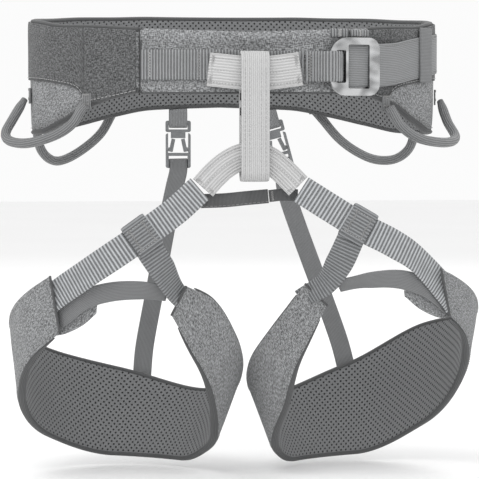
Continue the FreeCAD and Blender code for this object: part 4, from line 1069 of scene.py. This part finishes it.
def keeper_block(side, body):
    """Two layers of webbing round the front strap, with a sewn box of stitches."""
    x, z = KEEPER_CENTRE[side]
    slope = math.radians(KEEPER_SLOPE[side])
    along = Vector((math.cos(slope), 0, math.sin(slope)))
    across = Vector((-math.sin(slope), 0, math.cos(slope)))
    half_tall, half_deep, round_of = 12.4, 2.5, 1.7
    centre = Vector((x + HANG, TIP_Y - 8.5, z))
    edges = []
    for d, h, nd, nh in oval_ring(2 * half_deep, 2 * half_tall, round_of, 6):
        point = centre + across * h - Vector((0, 1, 0)) * d
        facing = (across * nh - Vector((0, 1, 0)) * nd).normalized()
        edges.append(((point - along * 10) * MM, (point + along * 10) * MM, facing))
    piece = band(f"{side}_keeper_wrap", edges, soft_section(1.3, 6, 14), CROSS_WEB,
                 ribs_relief(2.4, 0.3), closed=True)
    fit(piece, body, f"{side}_keeper_block", slot="leg_webbing")
    front = [((centre + along * k + across * -10 - Vector((0, half_deep, 0))) * MM,
              (centre + along * k + across * 10 - Vector((0, half_deep, 0))) * MM, FRONT)
             for k in even(-8, 8, 16)]
    for label, at in (("a", 0.12), ("b", 0.88)):
        fit(tack(f"{side}_keeper_tack_{label}", front, at, 1.8, GREY_THREAD, 0.95, 0.04, 0.96, 9), body,
            slot="leg_webbing")
    for label, share in (("low", 0.08), ("high", 0.92)):
        fit(seam(f"{side}_keeper_stitch_{label}", front, share, 0.95, PALE_THREAD, 1.4, 0.8), body,
            slot="leg_webbing")


for side in SIDES:
    leg_pad(side, f"{side}_leg")
    leg_straps(side, f"{side}_leg")
    keeper_block(side, f"{side}_leg")

# ------------------------------------------------------- rear straps and clips

CLIP_TOP = {"left": (-40.7, -35.3), "right": (36.1, -36.5)}
TAB_LENGTH = 16.4
CLIP_LEAN = {"left": 0.0, "right": 15.0}
REAR_STRAP = {
    "left": [(-44.5, 101, -92), (-52, 90, -124), (-62, 76, -172), (-71.5, 64.5, -218)],
    "right": [(49.5, 101, -95), (58, 90, -124), (74, 74, -172), (88, 64, -214)],
}
STRAP_END = {"left": [(101, 3), (100.5, 14)], "right": [(89, 3), (88, 14)]}


def clip_axes(side):
    """Top bar's middle, the clip's right and the clip's up."""
    x, z = CLIP_TOP[side]
    lean = math.radians(CLIP_LEAN[side])
    depth = HALF_DEPTH * math.sqrt(1 - ((x + HANG) / HALF_WIDTH) ** 2) + 4.4
    return (Vector((x + HANG, depth, z)), Vector((math.cos(lean), 0, math.sin(lean))),
            Vector((-math.sin(lean), 0, math.cos(lean))))


def rear_risers(side, body):
    top, right, up = clip_axes(side)
    low_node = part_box(f"{side}_clip_frame")[0]
    below = (top.z - low_node[2] / MM) / up.z - 7.0
    rows = [((top - up * (below - 1.0) + FRONT * 1.1) * MM, FRONT),
            ((top - up * (below + 9.5) + FRONT * 1.1) * MM, FRONT)]
    rows += [(mm(x + HANG, y, z), FRONT) for x, y, z in REAR_STRAP[side]]
    for angle, down in STRAP_END[side]:
        height = leg_edges(side, angle)[0] - down
        rows.append((leg_point(side, angle, height, -1.5) * MM, -wall_facing(side, angle)))
    edges = strap_edges(rows, 15.0, 10)
    strap = band(f"{side}_riser", edges, soft_section(1.2, 7, 12), ELASTIC)
    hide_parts(f"{side}_rear_strap")
    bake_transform(strap)
    for label, at in (("high", 0.93), ("low", 0.985)):
        fit(tack(f"{side}_riser_tack_{label}", [(a, b, -n) for a, b, n in edges], at, 2.0, BLACK_THREAD,
                 0.7, 0.08, 0.92, 7), body, slot="elastic")
    middle = top - up * 6.1 + up * TAB_LENGTH / 2
    edges = []
    for d, h, nd, nh in oval_ring(3.6 + 2.6 + 1.2 - 1.3, TAB_LENGTH - 1.3, 2.2, 8):
        point = middle + up * h + FRONT * d
        edges.append(((point - right * 7.5) * MM, (point + right * 7.5) * MM,
                      (up * nh + FRONT * nd).normalized()))
    tab = band(f"{side}_tab_loop", edges, soft_section(1.2, 7, 12), TAIL_WEB, closed=True)
    fit(tab, "waist", f"{side}_belt_tab", slot="tail_webbing")


for side in SIDES:
    rear_risers(side, f"{side}_leg")

# ------------------------------------------------------------ CAD nodes' finish


def finish_node(node, material):
    """A node that stays as CAD made it, with its own finish."""
    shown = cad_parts[node]
    for slot in shown.material_slots:
        slot.material = material


finish_node("buckle_frame", POLISHED)
finish_node("buckle_back_plate", SATIN)
for side in SIDES:
    for part in ("clip_base", "clip_frame", "clip_prong_outer", "clip_prong_inner"):
        finish_node(f"{side}_{part}", PLASTIC)

# ------------------------------------------------------- floor, light, camera


def stage_and_light():
    low = cad_box[0][2] - 0.004
    shade = Shade("floor_paint", 0.9)
    tone = shade.speckle(0.4, 0.4, source="Object")
    shade.colour(shade.blend(tone, grey(0.9), grey(0.93)))
    corners = [(-6, -6, low), (6, -6, low), (6, 6, low), (-6, 6, low)]
    mesh_object("floor", corners, [(0, 1, 2, 3)], shade.material)
    world = bpy.data.worlds.new("studio")
    bpy.context.scene.world = world
    world.use_nodes = True
    world.node_tree.nodes["Background"].inputs[0].default_value = (1, 1, 1, 1)
    world.node_tree.nodes["Background"].inputs[1].default_value = 0.97
    for name, place, size, power in (("key", (-0.7, -1.3, 1.7), 1.0, 17), ("fill", (1.6, -1.3, 0.5), 1.6, 3),
                                     ("back", (0.4, 1.8, 1.2), 1.5, 10), ("low", (0.0, -1.5, -0.2), 1.2, 1)):
        lamp = bpy.data.lights.new(name, "AREA")
        lamp.size = size
        lamp.energy = power
        holder = bpy.data.objects.new(name, lamp)
        holder.location = place
        holder.rotation_euler = (Vector((0, 0, -0.12)) - Vector(place)).to_track_quat("-Z", "Y").to_euler()
        bpy.context.collection.objects.link(holder)


def camera():
    """From the front, a little to the left and above."""
    target = mm(5.5, 0, -129)
    distance, turn, rise = 1.8, math.radians(-6), math.radians(3)
    away = Vector((math.sin(turn) * math.cos(rise), -math.cos(turn) * math.cos(rise), math.sin(rise)))
    data = bpy.data.cameras.new("camera")
    data.sensor_width = 36
    data.lens = 36 * distance / 0.3784
    holder = bpy.data.objects.new("camera", data)
    holder.location = target + away * distance
    holder.rotation_euler = (-away).to_track_quat("-Z", "Y").to_euler()
    bpy.context.collection.objects.link(holder)
    bpy.context.scene.camera = holder


stage_and_light()
camera()
bpy.context.scene.view_settings.view_transform = "Standard"
